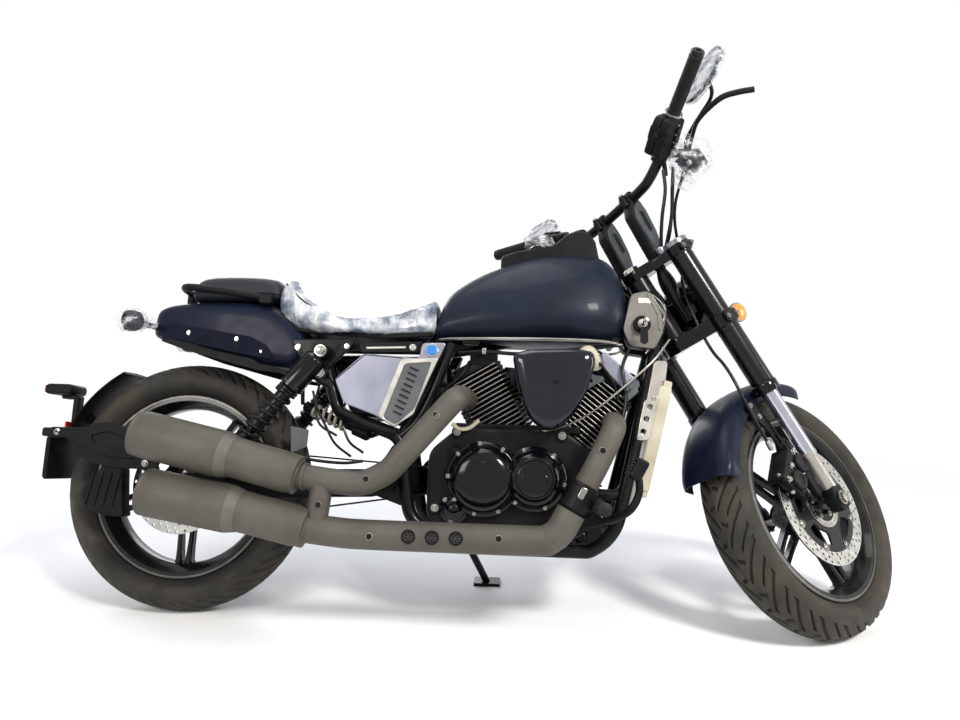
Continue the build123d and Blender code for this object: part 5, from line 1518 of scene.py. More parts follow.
def build_shocks():
    """Twin shocks: a smooth upper can, a black coil over the body, and rubber eyes."""
    way = (SHOCK_FOOT - SHOCK_TOP).normalized()
    length = (SHOCK_FOOT - SHOCK_TOP).length

    def along(distance):
        return SHOCK_TOP + way * distance

    can = lathe([(18, 14), (27, 22), (29, 26), (29, 104), (30.5, 106), (30.5, 113), (27, 116), (20, 118)],
                SHOCK_TOP, way, 48)
    body = lathe([(18, 116), (18, 250), (16, 252), (10, 254), (10, length - 24)], SHOCK_TOP, way, 32)
    seat = lathe([(12, length - 52), (27, length - 50), (27, length - 44), (22, length - 40), (14, length - 26),
                  (14, length - 20)], SHOCK_TOP, way, 40)
    collars = join(ring(along(spot), way, 26.5, 17, 3, 40) for spot in (122, 130))
    eyes = Shape()
    for at in (SHOCK_TOP, SHOCK_FOOT):
        eyes = eyes + lathe([(9, -15), (17, -15), (18, -12), (18, 12), (17, 15), (9, 15)], at, LEFT, 32, True)
    stalk = rod(SHOCK_TOP + way * 12, along(20), 12) + rod(along(length - 24), along(length - 12), 11)
    piece("shock_cans", both(can), "engine_gloss", covers=["shock_absorbers"])
    piece("shock_bodies", both(body + seat + collars + eyes + stalk), "frame_black")
    coil = helix(along(132), along(length - 53), 22.5, 4.6, 8.4)
    piece("shock_springs", both(coil), "frame_black", crisp=60)
    studs, heads = Shape(), Shape()
    for (x, _, z), outer, inner in ((SHOCK_TOP, -176, -104), (SHOCK_FOOT, -172, -120)):
        studs = studs + rod((x, outer, z), (x, inner, z), 9)
        heads = heads + bolt((x, STUD_HEAD_Y, z), RIGHT, 11, 8, True)
    piece("shock_studs", both(studs + heads), "plain_steel")


def build_canister():
    """The small damper with a pale coil behind the right frame loop, and the cables beside it."""
    low, high = Vector((304, -70, 525)), Vector((478, -78, 452))
    way = (high - low).normalized()
    core = lathe([(9, 0), (13, 3), (13, 30), (9, 34), (9, 140), (15, 144), (15, 182), (11, 188)], low, way, 24)
    piece("small_damper_body", core, "black_plastic")
    coil = helix(low + way * 34, low + way * 122, 15, 4.2, 5.2)
    piece("small_damper_coil", coil, "ivory_paint", crisp=60)
    cup = lathe([(10, 0), (17, 2), (17, 8), (10, 10)], low + way * 26, way, 24)
    piece("small_damper_cup", cup, "ivory_paint")
    hang = rod(low - way * 6, low + Vector((-4, -20, 60)), 5) + rod(high, high + Vector((40, -20, 14)), 6)
    piece("small_damper_links", hang, "frame_black")
    tab = plate([(286, 470), (332, 462), (330, 420), (292, 404)], -116, -113, 0.6, 4)
    piece("reservoir_tab", tab, "vent_grey")
    lines = (pipe([(330, -96, 560), (344, -100, 520), (372, -104, 470), (398, -108, 430), (440, -112, 400)],
                  3.2, 8)
             + pipe([(420, -90, 560), (410, -100, 500), (430, -108, 440), (470, -112, 410)], 3.2, 8)
             + pipe([(350, -92, 600), (340, -96, 540), (352, -100, 480), (400, -106, 450)], 3.0, 8))
    piece("rear_cables", lines, "cable_black")
    tank = box((440, -86, 540), (500, -60, 600), 4, 8)
    piece("rear_wiring_box", tank, "black_plastic")


# ---- rear end on the swingarm --------------------------------------------------------------------
BLADE_Y = -131
BLADE = [(-312, 448), (-216, 448), (-190, 462), (-160, 466), (-115, 452), (-36, 384), (-18, 340), (-42, 304),
         (-60, 352), (-130, 352), (-190, 362), (-245, 384), (-262, 422), (-312, 422)]
SPLASH = [(-218, 283), (-208, 321), (-180, 345), (-164, 365), (-119, 356), (-110, 261), (-102, 235),
          (-157, 238), (-192, 250)]


def build_plate_bracket():
    """The blade that carries the plate and lamps round behind the wheel, and its guard."""
    blade = plate(BLADE, BLADE_Y - 8, BLADE_Y, 2.5, 10)
    rib_line = [(-300, 438), (-200, 440), (-160, 452), (-110, 440), (-56, 388), (-96, 376), (-150, 378),
                (-220, 402)]
    window = rounded([(-200, 430), (-160, 440), (-120, 430), (-90, 400), (-150, 396), (-196, 412)], 6)
    rib = plate(rib_line, BLADE_Y - 12, BLADE_Y - 6, 2, 8, [window])
    splash = plate(SPLASH, BLADE_Y, BLADE_Y + 37, 4, 10)
    ridges = join(plate([(x, 262), (x + 6, 262), (x + 20, 340), (x + 14, 340)], BLADE_Y - 3, BLADE_Y + 1, 1)
                  for x in range(-206, -130, 22))
    neck = box((-330, BLADE_Y - 8, 424), (-306, 60, 446), 4, 6)
    tray = box((-344, -92, 318), (-336, 92, 430), 2, 6) + box((-344, -50, 424), (-306, 50, 446), 3)
    arm = box((-340, -14, 440), (-326, 14, 536), 3, 4) + box((-330, -14, 462), (-252, 14, 482), 3)
    piece("plate_carrier", blade + rib + splash + ridges + neck + tray + arm, "black_plastic",
          covers=["plate_bracket"])
    screws = bolts([(x, BLADE_Y - 8, z) for x, z in ((-32, 330), (-60, 366), (-290, 436))], RIGHT, 6, 4)
    piece("plate_carrier_screws", screws, "plain_steel")
    frame_line = [(-90, 320), (90, 320), (90, 426), (-90, 426)]
    lay = Matrix.Rotation(pi / 2, 4, "Z")
    blank = plate(frame_line, 0, 1.6, 0.4, 8).put(lay).moved(-345.6, 0, 0)
    opening = rounded([(-84, 326), (84, 326), (84, 420), (-84, 420)], 6)
    rim = plate(frame_line, -1.2, 2.4, 0.6, 9, [opening]).put(lay).moved(-345.9, 0, 0)
    piece("licence_plate_blank", blank, "plate_blank", covers=["licence_plate"])
    piece("licence_plate_rim", rim, "black_plastic")
    screws = bolts([(-347, -60, 412), (-347, 60, 412)], BACK, 5, 3)
    piece("licence_plate_screws", screws, "plain_steel")


def build_hugger():
    """A short ribbed guard over the back of the tyre."""
    inner, outer = 330, 335
    rings = []
    for step in range(29):
        angle = radians(122 + 34 * step / 28)
        ridge = 1.5 if step % 4 == 0 else 0
        line = ((inner, -62), (inner + 2, -69), (outer, -70), (outer + ridge, -56), (outer + ridge + 3, 0),
                (outer + ridge, 56), (outer, 70), (inner + 2, 69), (inner, 62), (inner + 2.5, 0))
        rings.append([(r * cos(angle), y, REAR_RADIUS + r * sin(angle)) for r, y in line])
    piece("rear_guard", skin(rings), "black_plastic", covers=["rear_hugger"])


def build_rear_lamps():
    """Tail lamp on its arm, and the two film-wrapped signals on the tail."""
    pod = box((-408, -36, 538), (-334, 36, 566), 6, 12) + box((-372, -16, 528), (-330, 16, 542), 3, 4)
    piece("tail_lamp_pod", pod, "black_plastic", covers=["rear_lamps"])
    lens = box((-411, -31, 542), (-402, 31, 562), 2.5, 3)
    piece("tail_lamp_lens", lens, "red_lens")
    reflector = box((-349, -24, 450), (-344, 24, 468), 1.5, 3)
    piece("rear_reflector", reflector, "red_lens")
    signal = (-122, 158, 716)
    stalk = pipe([(-96, 58, 718), (-110, 96, 717), (-122, 140, 716)], 8, 16)
    shell = lathe([(12, -26), (22, -20), (26, -8), (26.5, 6), (25, 12), (22, 13)], signal, BACK, 40)
    piece("rear_signal_shells", both(stalk + shell), "black_plastic")
    face = lathe([(23, 12), (21, 15), (14, 18), (1, 19)], signal, BACK, 40)
    piece("rear_signal_lenses", both(face), "lamp_lens")
    wrap = crumpled((-120, 156, 716), (37, 30, 33), 11, 0.22) + crumpled((-96, 118, 718), (17, 26, 15), 5, 0.25)
    for side, bag in (("right", wrap.mirrored()), ("left", wrap)):
        film_piece(f"{side}_rear_signal_film", bag, "wrap_film", (0.16, 0.13), "gathered",
                   ["rear_signal_shells"])


def build_rear_drive():
    """Drive belt, rear caliper with its hose, and the axle's adjusters."""
    big, small = 98, 34
    front, rear = Vector((590, 345)), Vector((0, REAR_RADIUS))
    span = (front - rear).length
    slope = atan2(front.y - rear.y, front.x - rear.x)
    spread = acos((big - small) / span)
    rings = []
    for middle, radius, start, sweep, steps in ((rear, big, slope + spread, tau - 2 * spread, 40),
                                                (front, small, slope - spread, 2 * spread, 14)):
        for step in range(steps + 1):
            angle = start + sweep * step / steps
            x, z = middle.x + cos(angle), middle.y + sin(angle)
            rings.append([(x + (radius + grow) * cos(angle), BELT_Y + side, z + (radius + grow) * sin(angle))
                          for grow, side in ((0, -7), (0, 7), (4.6, 7), (4.6, -7))])
    piece("toothed_belt", skin(rings, looped=True), "belt_rubber", covers=["drive_belt"], crisp=50)
    caliper = box((42, -104, 368), (118, -48, 434), 6, 14) + box((58, -121, 334), (100, -94, 394), 4, 8)
    caliper = caliper + rod((60, -110, 402), (60, -98, 402), 15) + rod((98, -110, 404), (98, -98, 404), 15)
    piece("rear_brake_caliper", caliper, "engine_black", covers=["rear_caliper"])
    screws = bolts([(62, -121, 350), (94, -121, 350)], RIGHT, 6, 5, True)
    piece("rear_caliper_bolts", screws, "plain_steel")
    hose = pipe([(104, -100, 430), (150, -112, 444), (230, -124, 420), (330, -126, 392), (420, -126, 384),
                 (470, -112, 390)], 4, 10)
    piece("rear_brake_hose", hose, "cable_black")
    adjusters = box((-58, -134, 300), (-42, -104, 328), 2, 3) + rod((-62, -118, 314), (-30, -118, 314), 5)
    piece("axle_adjusters", both(adjusters), "plain_steel")


# ---- feet ----------------------------------------------------------------------------------------
PEG_X, PEG_Z = 1030, 306
PEDAL_TURN = 28


def build_feet():
    """Foot pegs with ribbed rubber, brake and shift pedals, and the side stand's finish."""
    core = rod((PEG_X, -150, PEG_Z), (PEG_X, -326, PEG_Z), 11)
    rubber = join(lathe([(12, -5.8), (15.4, -4.6), (15.4, 4.6), (12, 5.8)], (PEG_X, -180 - index * 13.2, PEG_Z),
                        LEFT, 28) for index in range(11))
    end = lathe([(12, 0), (15.6, 2), (15.6, 8), (11, 11), (1, 12)], (PEG_X, -320, PEG_Z), RIGHT, 28)
    arm = box((1008, -152, 288), (1052, -96, 324), 5, 10) + box((1012, -112, 200), (1050, -94, 314), 4, 6)
    piece("foot_peg_arms", both(arm + core), "frame_black", covers=["rider_pegs"])
    piece("foot_peg_rubbers", both(rubber + end), "grip_rubber")
    brake = pipe([(1010, -150, 262), (1040, -170, 270), (1070, -214, 284), (1098, -244, 306), (1114, -250, 340),
                  (1114, -250, 372)],
                 lambda share: 12 - 2 * share, 18, 8, 0.8)
    pivot = rod((1010, -98, 262), (1010, -160, 262), 14)
    pad = box((-14, -28, -24), (14, 28, 24), 5, 8).turned(PEDAL_TURN).moved(1112, -246, 392)
    piece("brake_pedal", brake + pivot + pad, "engine_black", covers=["foot_controls"])
    ridges = join(box((-14, -26, z), (-11, 26, z + 4), 0.8) for z in range(-20, 20, 9))
    piece("brake_pedal_rubber", ridges.turned(PEDAL_TURN).moved(1109, -246, 392), "grip_rubber")
    lever = pipe([(1010, 150, 262), (1060, 160, 260), (1112, 178, 266), (1150, 200, 316)],
                 lambda share: 8 - 1.5 * share, 14, 8, 0.7)
    shift_pivot = rod((1010, 98, 262), (1010, 160, 262), 13)
    toe = lathe([(6, 0), (11, 2), (11, 66), (8, 70), (1, 71)], (1150, 190, 318), LEFT, 24)
    piece("shift_lever", lever + shift_pivot, "engine_black")
    piece("shift_toe_rubber", toe, "grip_rubber")
    paint("frame_black", "side_stand", "swingarm_bridge")


# ---- steering assembly ---------------------------------------------------------------------------
LEG_D, LEG_Y = 69.5, 110
UPPER_LEG_R, STANCHION_R = 29, 20
AXLE_D, AXLE_S = 63.4, 322.9
LOWER_YOKE = (818, 856)      # s from, to
TOP_YOKE = (1036, 1064)
YOKE_BOSS = 35
UPRIGHT = Matrix.Rotation(RAKE, 4, "Y")     # from upright directions to steering ones


def front(name, shape, look, covers=(), crisp=SHARP):
    """A piece of the steering assembly."""
    return piece(name, shape, look, "steering", STEERING, covers, crisp)


def on_leg(s):
    """A point of the left leg's middle line."""
    return (LEG_D, LEG_Y, s)


def build_fork():
    """Upside-down fork: gloss upper tubes with a cap, bright stanchions, and cast feet."""
    tube = rod(on_leg(654), on_leg(1062), UPPER_LEG_R, 2, 56)
    bands = join(ring(on_leg(s), UP, 30.2, 27, 1.6, 56) for s in (806, 1026))
    front("fork_upper_tubes", both(tube + bands), "fork_black", ["fork_legs"])
    cap = lathe([(31, 0), (34.5, 1.5), (34.5, 12), (33, 14), (27, 14.5), (25, 11), (13, 11), (12, 16), (8, 17),
                 (7, 14), (1, 14)], on_leg(TOP_YOKE[1] - 2), UP, 56)
    front("fork_caps", both(cap), "fork_grey")
    collar = lathe([(22, 0), (31, 2), (32, 5), (32, 25), (30, 29), (UPPER_LEG_R, 30), (UPPER_LEG_R, 34)],
                   on_leg(622), UP, 56)
    grooves = join(ring(on_leg(s), UP, 33, 31, 0.9, 56) for s in (628, 634))
    front("fork_seals", both(collar + grooves), "engine_gloss")
    front("fork_stanchions", both(rod(on_leg(452), on_leg(624), STANCHION_R, 1, 48)), "bright_tube")
    low = lathe([(14, 0), (17, 4), (17, 114), (20, 120), (21, 124), (21, 130), (19, 132)], on_leg(322), UP, 40)
    front("fork_lower_tubes", both(low), "head_grey")
    foot_line = [(-20, -28), (24, -28), (29, 4), (22, 34), (-12, 34), (-21, 12)]
    foot = plate([(AXLE_D + d, AXLE_S + s) for d, s in foot_line], 93, 127, 4, 12)
    lug = box((AXLE_D - 42, 88, AXLE_S + 30), (AXLE_D - 14, 104, AXLE_S + 96), 3, 6)
    front("fork_feet", both(foot) + lug.mirrored(), "black_plastic")
    pinch = bolts([(AXLE_D + 4, y, AXLE_S - 28) for y in (-98, 98)], DOWN, 5, 4)
    nut = bolt((AXLE_D, -130, AXLE_S), RIGHT, 13, 9, True) + bolt((AXLE_D, 130, AXLE_S), LEFT, 13, 9, True)
    front("front_axle_nuts", pinch + nut, "plain_steel")
    paint("plain_steel", "front_axle")


YOKE_HALF = [(-26, 20), (10, 58), (44, 110), (95, 110), (100, 62), (66, 24)]


def build_yokes():
    """Upper and lower yokes with rings round the legs, pinch bolts, the stem nut and cable studs."""
    outline = YOKE_HALF + [(d, -y) for d, y in reversed(YOKE_HALF)]
    pocket = rounded([(2, -18), (60, -22), (92, -46), (92, 46), (60, 22), (2, 18)], 8)
    castings = []
    for low, high in (LOWER_YOKE, TOP_YOKE):
        rings = rod(on_leg(low), on_leg(high), YOKE_BOSS, 2.5, 56)
        lugs = box((LEG_D - 30, LEG_Y + 22, low + 4), (LEG_D + 20, LEG_Y + 36, high - 4), 3, 8)
        castings.append(slab(outline, low, high, 2.5, 10) + both(rings + lugs))
    lip = slab(rounded(pocket, 2), TOP_YOKE[1] - 1, TOP_YOKE[1] + 2.5, 1.2, 0)
    front("lower_yoke_casting", castings[0], "engine_gloss", ["lower_yoke"])
    front("top_yoke_casting", castings[1] + lip, "engine_gloss", ["top_yoke"])
    nut = lathe([(20, 0), (20, 10), (17, 13), (8, 13), (7, 10), (1, 10)], (0, 0, TOP_YOKE[1]), UP, 6)
    pinches = join(bolt((44 + 40 * far, side * 146, s), (0, side, 0), 5, 5)
                   for side in (-1, 1) for s in (837, 1050) for far in (0, 1))
    front("yoke_bolts", nut + pinches, "plain_steel")
    front("steering_stem", rod((0, 0, LOWER_YOKE[1]), (0, 0, TOP_YOKE[0]), 12.5), "plain_steel")
    stud = lathe([(11, 0), (12, 2), (12, 14), (9, 18), (3, 19)], (40, 84, TOP_YOKE[1] - 1), UP, 28)
    front("cable_studs", both(stud), "fork_grey")


BAR_MIDDLE = (1118, 0, 1105)               # x, y, z upright
BAR_POINTS = [(0, 0, 0), (-2, 100, 0), (-6, 145, 8), (-12, 200, 39), (-28, 250, 65), (-47, 289, 79),
              (-103, 430, 109)]


def by_bar(x, y, z):
    """A point given upright from the handlebar's middle, in steering coordinates."""
    return steer_point(BAR_MIDDLE[0] + x, y, BAR_MIDDLE[2] + z)


BAR_LEFT = [by_bar(*point) for point in BAR_POINTS]
GRIP_RUN = (BAR_LEFT[6] - BAR_LEFT[5]).normalized()


def along_grip(distance):
    """A point of the left grip's line, measured back from its tip."""
    return BAR_LEFT[6] - GRIP_RUN * distance


PERCH_END = (146, 236, 1252)
MIRROR = by_bar(17, 360, 182.5)
MIRROR_TILT = 10             # degrees about each of its axes


def build_risers():
    """Swept risers: dark bodies, pale machined sides with a dark slot, and split clamps; the dark of the bodies
    and the slots is painted shade.
    """
    line = [(32, 1064), (66, 1064), (92, 1131), (103, 1196), (103, 1240), (64, 1240), (62, 1228), (42, 1198)]
    face = [(38, 1066), (67, 1066), (93, 1131), (104, 1196), (101, 1232), (84, 1226), (62, 1214), (48, 1190)]
    slot = rounded([(64, 1136), (82, 1140), (89, 1196), (72, 1202)], 5)
    core = plate(line, 39, 71, 3, 6)
    cheeks = plate(face, 70, 72.5, 0.8, 5, [slot]) + plate(face, 37.5, 40, 0.8, 5, [slot])
    # painted shade: the bodies' black on their front and back faces and behind the slots stands in for the
    # shade there
    front("riser_bodies", both(core), "engine_black", ["risers"])
    front("riser_cheeks", both(cheeks), "riser_grey")
    clamps, screws = Shape(), Shape()
    centre = by_bar(-1, 0, 0)
    for side in (-1, 1):
        at = Vector((centre.x, side * 55, centre.z))
        clamps = clamps + ring(at, LEFT, 22, 13, 17, 40, 2)
        for d in (-21, 21):
            clamps = clamps + rod(at + Vector((d, 0, -14)), at + Vector((d, 0, 18)), 8)
            screws = screws + bolt(at + Vector((d, 0, 18)), UP, 5.5, 5)
    front("bar_clamps", clamps, "engine_black")
    front("bar_clamp_screws", screws, "plain_steel")


def build_handlebar():
    """Fat bar, ribbed grips with a collar at the inner end, and bar ends."""
    line = [Vector((p.x, -p.y, p.z)) for p in reversed(BAR_LEFT[1:])] + BAR_LEFT
    front("handlebar_tube", pipe(line, 14, 28, 12), "frame_black", ["handlebar"], 50)
    ribs = [(14, 0), (16.5, 1.5)]
    for index in range(34):
        spot = 6 + index * 4
        ribs += [(16.9, spot), (16.9, spot + 2.6), (16.1, spot + 3.0), (16.1, spot + 3.8)]
    ribs += [(17.2, 144), (17.2, 151), (16, 152)]
    front("grip_rubbers", both(lathe(ribs, along_grip(148), GRIP_RUN, 40)), "grip_rubber", ["grips"], 60)
    collar = ring(along_grip(149), GRIP_RUN, 23, 14.2, 3.5, 44, 1.2)
    front("grip_collars", both(collar), "fork_grey")
    weight = lathe([(14, 0), (16.2, 1), (16.8, 4), (16.8, 9), (14, 12), (7, 12.6), (6, 10), (1, 10)],
                   along_grip(-1.5), GRIP_RUN, 40)
    front("bar_end_weights", both(weight), "engine_gloss")


def build_switches():
    """Switch blocks below the grips, the clamps whose arms carry lever and mirror, and the levers."""
    foot, top = BAR_LEFT[3], BAR_LEFT[5]
    run = (top - foot).normalized()
    across = (Vector(AHEAD) - run * run.x).normalized()
    over = run.cross(across)
    spot = Matrix((across, over, run)).transposed().to_4x4()
    spot.translation = foot - Vector((10, 0, 0))
    reach = (top - foot).length

    def fitted(shape):
        """A shape drawn with x ahead across the bar, z up it and its origin at the block's foot."""
        return shape.put(spot)

    shell = [(-39, 8), (-30, 2), (34, 2), (38, 30), (36, reach - 6), (12, reach - 1), (-30, reach - 3),
             (-38, reach - 24)]
    halves = plate(shell, 0.6, 24, 4, 9) + plate(shell, -24, -0.6, 4, 9)
    pod = box((-38, -27, 40), (-8, 27, 78), 5, 8)
    front("switch_blocks", both(fitted(halves + pod)), "black_plastic", ["switches"])
    rockers = join(box((6, side * 27 - 3, z), (22, side * 27 + 3, z + 12), 1.5, 3)
                   for side in (-1, 1) for z in (26, 46, 66))
    button = lathe([(7, 0), (7, 3), (5.5, 4.5), (1, 5)], (-24, 0, 58), BACK, 24).moved(-14, 0, 0)
    marks = join(box((8, side * 25.2 - 0.5, z), (14, side * 25.2 + 0.5, z + 3), 0.3)
                 for side in (-1, 1) for z in (20, 40, 60, 84))
    front("switch_rockers", both(fitted(rockers + button)), "engine_gloss")
    front("switch_marks", both(fitted(marks)), "pale_metal")
    throttle = pipe([foot + Vector((6, -2, -2)), foot + Vector((2, -8, -26)), foot + Vector((-10, -14, -52))],
                    6, 14)
    front("cable_elbows", both(throttle), "engine_black")
    clamp = rod(foot, foot + (BAR_LEFT[2] - foot).normalized() * 20, 20.5, 2, 32)
    arm = pipe([foot + Vector((10, 0, 2)), (128, 224, 1264), PERCH_END], 11, 18)
    knuckle = rod(Vector(PERCH_END) + Vector((0, 2, -10)), Vector(PERCH_END) + Vector((0, 2, 12)), 10.5)
    front("lever_perches", both(clamp + arm + knuckle), "engine_black")
    blade = pipe([(147, 246, 1258), (149, 272, 1280), (151, 300, 1299), (155, 340, 1306), (164, 380, 1306),
                  (184, 410, 1294), (206, 435, 1279)],
                 lambda share: 5.2 + 3.6 * min(1, share * 1.6), 18, 8, 0.75)
    front("control_levers", both(blade), "engine_black", ["levers"])


def mirror_place():
    """Where the left mirror's glass is and how it is turned; x points ahead."""
    turn = Matrix.Identity(4)
    for axis in "ZYX":
        turn = turn @ Matrix.Rotation(radians(MIRROR_TILT), 4, axis)
    return Matrix.Translation(MIRROR) @ UPRIGHT @ turn


def build_mirrors():
    """Oval mirrors on bent stems; each still in clear film."""
    profile = [(0.1, 9.5), (0.5, 8.6), (0.8, 6.6), (0.95, 3), (1.0, -3), (0.99, -6.6), (0.965, -8), (0.94, -8),
               (0.93, -6.4)]
    oval = mirror_place() @ Matrix.Diagonal((1, 76, 46, 1))
    shell = lathe(profile, ORIGIN, AHEAD, 72).put(oval)
    glass = lathe([(0.94, 0), (0.94, 1.4), (0.05, 1.4)], (-6.2, 0, 0), BACK, 72).put(oval)
    stem = pipe([(150, 228, 1252), (166, 240, 1284), (182, 270, 1306), (196, 302, 1322), (196, 336, 1332),
                 (188, 358, 1346), MIRROR + Vector((6, 0, -8))], 5, 14, 10)
    boss = lathe([(7, 0), (10, 3), (10, 14), (6, 18)], (148, 226, 1246), (0.3, 0.3, 1), 24)
    front("mirror_shells", both(shell), "black_plastic", ["mirrors"])
    front("mirror_stems", both(stem + boss), "frame_black")
    front("mirror_glasses", both(glass), "mirror_glass")
    film = lathe([(0.2, 14), (0.7, 12.5), (1.0, 9), (1.05, 0), (1.03, -9), (0.9, -11.5), (0.4, -12)],
                 ORIGIN, AHEAD, 90).put(oval)
    for index, point in enumerate(film.points):
        spot = Vector(point)
        film.points[index] = spot + Vector((1, 0.2, 0.5)) * 1.6 * noise.noise(spot * 0.05)
    for side, skin_part in (("right", film.mirrored()), ("left", film)):
        film_piece(f"{side}_mirror_film", skin_part, "streak_film", (0.19, 0.15), "stretched",
                   ["mirror_shells"], body="steering", at=STEERING)


def build_master():
    """Front brake master cylinder with its reservoir, bagged in clear film."""
    at = Vector((143, -236, 1226))
    tank = box((-31, -22, -23), (31, 22, 18), 4, 8) + box((-33, -23.5, 17), (33, 23.5, 23), 2, 9)
    cylinder = rod((-34, 8, 8), (28, 6, 8), 13) + rod((-30, 0, -28), (-24, 14, -8), 9)
    front("brake_master_body", (tank + cylinder).moved(*at), "engine_black", ["brake_master"])
    screws = bolts([at + Vector((d, y, 23)) for d in (-25, 25) for y in (-16, 16)], UP, 3.4, 2.4)
    window = lathe([(8, 0), (8, 2), (6, 3), (1, 3)], at + Vector((-31, -6, -4)), BACK, 24)
    front("brake_master_trim", screws + window, "plain_steel")
    film = crumpled((at.x, at.y, at.z + 8), (60, 52, 62), 21, 0.22)
    neck = crumpled((at.x - 52, at.y + 16, at.z - 34), (26, 24, 34), 8, 0.26)
    film_piece("brake_master_film", film + neck, "wrap_film", (0.26, 0.22), "gathered", ["brake_master_body"],
               body="steering", at=STEERING)


# d, y, s of the right throttle pair, right wiring, left clutch and left wiring
CONTROL_CABLES = [
    [(84, -214, 1232), (62, -194, 1188), (62, -150, 1132), (58, -98, 1082), (56, -52, 1040), (64, -34, 960),
     (66, -30, 900)],
    [(92, -208, 1230), (70, -186, 1180), (74, -142, 1130), (72, -98, 1086), (62, -44, 1050), (68, -26, 990),
     (70, -22, 900)],
    [(70, -196, 1240), (58, -176, 1192), (40, -140, 1140), (44, -96, 1090), (52, -60, 1040), (60, -42, 980),
     (62, -38, 890)],
    [(84, 214, 1232), (62, 190, 1186), (50, 140, 1130), (34, 92, 1082), (16, 66, 1046), (30, 56, 990),
     (36, 56, 900)],
    [(70, 196, 1240), (58, 174, 1190), (38, 134, 1136), (28, 92, 1088), (10, 60, 1040), (26, 50, 980),
     (36, 48, 890)],
]


def build_control_cables():
    """Cables and wiring from the grips, down to their guide between the yokes."""
    for index, (line, radius) in enumerate(zip(CONTROL_CABLES, (3.6, 3.6, 4.6, 3.6, 4.6))):
        front(f"control_cable_{index}", pipe(line, radius, 10, 10), "cable_black")
    boots = both(pipe([(56, 44, 1040), (64, 34, 1000), (69, 26, 950), (70, 24, 880)],
                      lambda share: 10 + 12 * sin(pi * min(share * 1.2, 1)), 18, 8))
    front("cable_boots", boots, "cable_black")


BRAKE_HOSE = [(118, -222, 1216), (80, -190, 1176), (92, -138, 1133), (118, -94, 1082), (112, -72, 1020),
              (60, -62, 960), (20, -62, 790), (-5, -96, 726), (-28, -96, 599), (-27, -92, 505)]
HOSE_RADIUS = 4


def build_brake_hose():
    """The front brake hose: one smooth line from the master cylinder to the caliper."""
    route = [STEERING @ Vector(point) for point in BRAKE_HOSE]
    curve = bpy.data.curves.new("brake_hose", "CURVE")
    curve.dimensions = "3D"
    spline = curve.splines.new("NURBS")
    spline.points.add(len(route) - 1)
    for knot, at in zip(spline.points, route):
        knot.co = (*at, 1)
    spline.order_u = 3
    spline.use_endpoint_u = True
    spline.resolution_u = 12
    line = bpy.data.meshes.new_from_object(bpy.data.objects.new("line", curve))
    curve.bevel_depth, curve.bevel_resolution, curve.use_fill_caps = HOSE_RADIUS * MM, 4, True
    curve.materials.append(LOOKS["cable_black"][1])
    hose = bpy.data.objects.new("brake_hose", curve)
    bpy.context.scene.collection.objects.link(hose)
    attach(hose, "steering")
    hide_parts("front_brake_hose")
    ends = Shape()
    for end, after in ((BRAKE_HOSE[0], BRAKE_HOSE[1]), (BRAKE_HOSE[-1], BRAKE_HOSE[-2])):
        run = (Vector(after) - Vector(end)).normalized()
        ends = ends + lathe([(5, 0), (6.5, 1), (6.5, 16), (5.2, 24)], end, run, 20)
    front("brake_hose_ferrules", ends, "plain_steel")


def build_headlight():
    """Round headlight between the legs: bowl, rim, lens and reflector."""
    spot = Matrix.Translation((112, 0, 934)) @ UPRIGHT

    def round_part(profile, steps=64, looped=False):
        return lathe(profile, ORIGIN, AHEAD, steps, looped).put(spot)

    bowl = round_part([(14, -28), (40, -27), (54, -20), (66, -6), (75, 8), (78, 24), (78, 58)])
    bar = box((70, -81, 918), (98, 81, 944), 4)
    front("headlight_bowl", bowl + bar, "engine_gloss", ["headlight"])
    rim = round_part([(74, 52), (79, 53), (80.5, 56), (80.5, 62), (78, 65), (74, 65)], looped=True)
    front("headlight_rim", rim, "engine_black")
    front("headlight_reflector", round_part([(12, 24), (44, 30), (62, 44), (73, 60)], 48), "bright_bolt")
    bulb = round_part([(12, 26), (13, 44), (9, 50), (1, 51)], 24)
    front("headlight_bulb", bulb + box((30, -60, -3), (36, 60, 3), 1).put(spot), "pale_metal")
    lens = round_part([(74.5, 58), (74.5, 61), (62, 66), (40, 69.5), (20, 71), (1, 71.5)])
    front("headlight_lens", lens, "headlamp_glass")


FENDER_CROWN = [(288, 78), (304, 78.6), (317, 77.6), (326, 72), (333, 61), (337.5, 46), (340, 26), (340.8, 0)]
FENDER_R = 340
FENDER_STEPS = 48
STAY_OUTER_Y = 87


